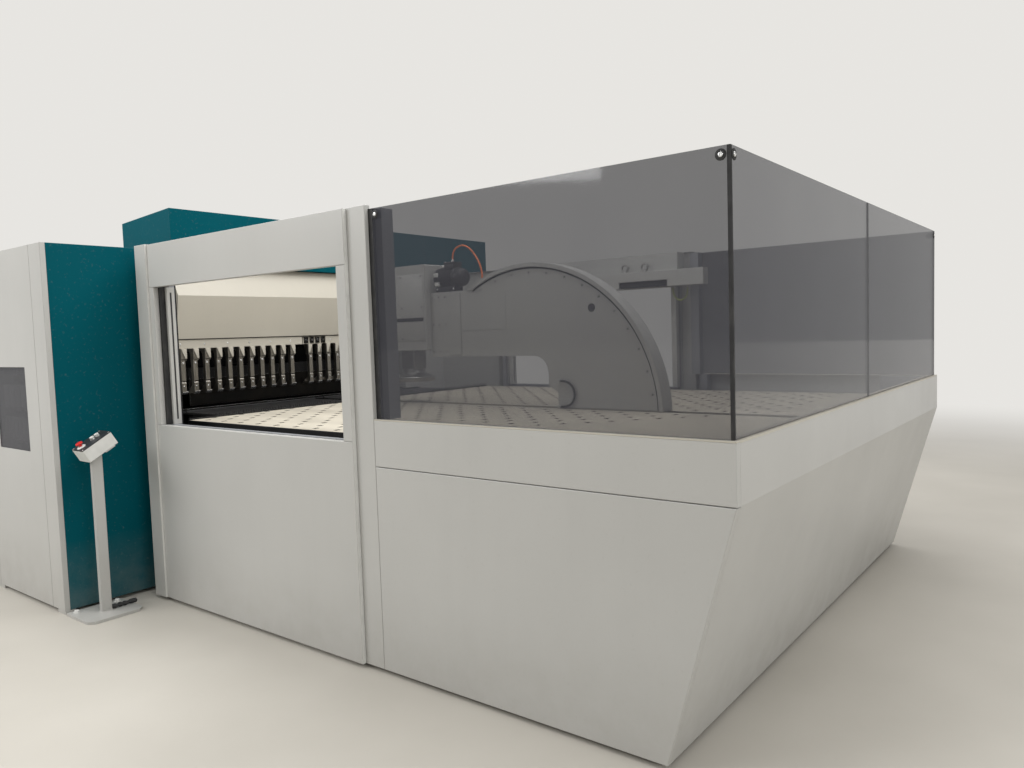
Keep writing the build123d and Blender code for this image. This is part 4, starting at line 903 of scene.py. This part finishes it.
def pedestal_details():
    """Round buttons with their collar and rims, lid screws, anchor caps and weld bead."""
    caps = (("stop_head", "stop", "stop_button", "red_plastic", STOP_Y, STOP_PROFILE),
            ("start_cap", "start", "start_button", "pale_plastic", START_Y, BUTTON_PROFILE),
            ("reset_cap", "reset", "reset_button", "pale_plastic", RESET_Y, BUTTON_PROFILE))
    for name, body, node, slot, y, profile in caps:
        cap = Solids(ON_BOX)
        cap.lathe((0, y, 0), (0, 0, 1), profile, 32)
        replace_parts(cap.done(name, body, slot), node)
    collar, rims = Solids(ON_BOX), Solids(ON_BOX)
    collar.lathe((0, STOP_Y, LID_TOP), (0, 0, 1), COLLAR_PROFILE, 32)
    for y in (START_Y, RESET_Y):
        rims.lathe((0, y, LID_TOP), (0, 0, 1), RIM_PROFILE, 28)
    for x in (-56, 56):
        for y in (-84, 84):
            rims.screw((x, y, LID_TOP), (0, 0, 1), 3.0, 1.8, 12)
    collar.done("stop_collar", "machine", "pale_plastic")
    rims.done("button_rims", "machine", "bright_metal")
    anchors, bead = Solids(), Solids()
    for y in (-452.0, -222.0):
        anchors.lathe((-3758.0, y, FOOT_TOP), (0, 0, 1), ANCHOR_PROFILE, 28)
    anchors.done("anchor_caps", "machine", "pale_plastic")
    for a, b in zip(WELD_CORNERS, WELD_CORNERS[1:] + WELD_CORNERS[:1]):
        start, way = Vector((*a, FOOT_TOP)), Vector((*b, 0.0)) - Vector((*a, 0.0))
        steps = int(way.length / 4)
        profile = [(way.length * k / steps, 4.0 + 0.7 * (k % 2)) for k in range(steps + 1)]
        bead.lathe(start, way, profile, 10)
    bead.done("column_weld", "machine", "grey_paint")


plate_half("slotted_plates_front", "table_plates_front", True, False)
plate_half("slotted_plates_rear", "table_plates_rear", False, True)
table_brushes()
tool_details()
holder_details()
motor()
manipulator_details()
rotors()
glass_hardware()
portal_details()
cabinet_details()
pedestal_details()


# Light and floor

# Name, place, aim, size in metres and power in watts of each lamp
LAMPS = (("ceiling", (0.5, 0.0, 7.5), (0.0, 0.5, 0.0), (9.0, 7.0), 460.0),
         ("front_left", (-3.6, -6.6, 4.6), (-0.5, -1.8, 2.1), (5.0, 2.4), 255.0),
         ("over_table", (1.35, -0.5, 4.3), (1.35, -0.4, 1.0), (2.2, 2.2), 75.0),
         ("right", (9.0, -2.5, 4.0), (1.5, 0.0, 1.0), (5.0, 4.0), 185.0))
LIGHT_COLOUR, LIGHT_STRENGTH = (1.0, 0.99, 0.97, 1.0), 0.55
FLOOR_HALF = 60.0
FADE_START, FADE_END = 4.5, 12.0


def area_light(name, place, aim, size, power):
    """Rectangular lamp that shines from its place towards another."""
    data = bpy.data.lights.new(name, "AREA")
    data.shape = "RECTANGLE"
    data.size, data.size_y = size
    data.energy = power
    lamp = add_object(name, data)
    lamp.location = place
    lamp.rotation_mode = "QUATERNION"
    lamp.rotation_quaternion = (Vector(aim) - Vector(place)).to_track_quat("-Z", "Y")


def make_world():
    """Soft light from all round, and a plain backdrop where the camera looks past the machine."""
    world = bpy.data.worlds.new("studio")
    bpy.context.scene.world = world
    world.use_nodes = True
    tree = world.node_tree
    light = tree.nodes["Background"]
    light.inputs["Color"].default_value = LIGHT_COLOUR
    light.inputs["Strength"].default_value = LIGHT_STRENGTH
    shown = tree.nodes.new("ShaderNodeBackground")
    shown.inputs["Color"].default_value = BACKDROP
    shown.inputs["Strength"].default_value = 1.0
    path = tree.nodes.new("ShaderNodeLightPath")
    seen = tree.nodes.new("ShaderNodeMath")
    seen.operation = "MAXIMUM"
    tree.links.new(path.outputs["Is Camera Ray"], seen.inputs[0])
    tree.links.new(path.outputs["Is Transmission Ray"], seen.inputs[1])
    mix = tree.nodes.new("ShaderNodeMixShader")
    tree.links.new(seen.outputs[0], mix.inputs[0])
    tree.links.new(light.outputs[0], mix.inputs[1])
    tree.links.new(shown.outputs[0], mix.inputs[2])
    tree.links.new(mix.outputs[0], tree.nodes["World Output"].inputs["Surface"])


def make_floor():
    """Large concrete floor that fades into the backdrop away from the machine."""
    bm = bmesh.new()
    bm.faces.new([bm.verts.new((x * FLOOR_HALF, y * FLOOR_HALF, 0.0))
                  for x, y in ((-1, -1), (1, -1), (1, 1), (-1, 1))])
    mesh = bpy.data.meshes.new("floor")
    bm.to_mesh(mesh)
    bm.free()
    shader = Shader("floor")
    cloud = shader.ramp(shader.noise(0.7, 5.0), 0.3, 0.7)
    base = shader.mix(cloud, FLOOR_DARK, FLOOR_PALE)
    material = shader.finish(base, 0.55, shader.bump(shader.noise(30.0, 3.0), 0.05, 0.001))
    length = shader.add("ShaderNodeVectorMath")
    length.operation = "LENGTH"
    shader.link(shader.coordinates, length.inputs[0])
    far = shader.ramp(length.outputs["Value"], FADE_START, FADE_END)
    far.node.interpolation_type = "SMOOTHSTEP"
    path = shader.add("ShaderNodeLightPath")
    past = shader.maths("MAXIMUM", path.outputs["Is Glossy Ray"], path.outputs["Is Transmission Ray"])
    seen = shader.maths("MAXIMUM", path.outputs["Is Camera Ray"], past)
    glow = shader.add("ShaderNodeEmission")
    glow.inputs["Color"].default_value = BACKDROP
    mix = shader.add("ShaderNodeMixShader")
    shader.link(shader.maths("MULTIPLY", far, seen), mix.inputs[0])
    shader.link(shader.bsdf.outputs[0], mix.inputs[1])
    shader.link(glow.outputs[0], mix.inputs[2])
    shader.link(mix.outputs[0], shader.tree.nodes["Material Output"].inputs["Surface"])
    mesh.materials.append(material)
    add_object("floor", mesh)


make_world()
make_floor()
for lamp in LAMPS:
    area_light(*lamp)
bpy.context.scene.view_settings.view_transform = "Standard"
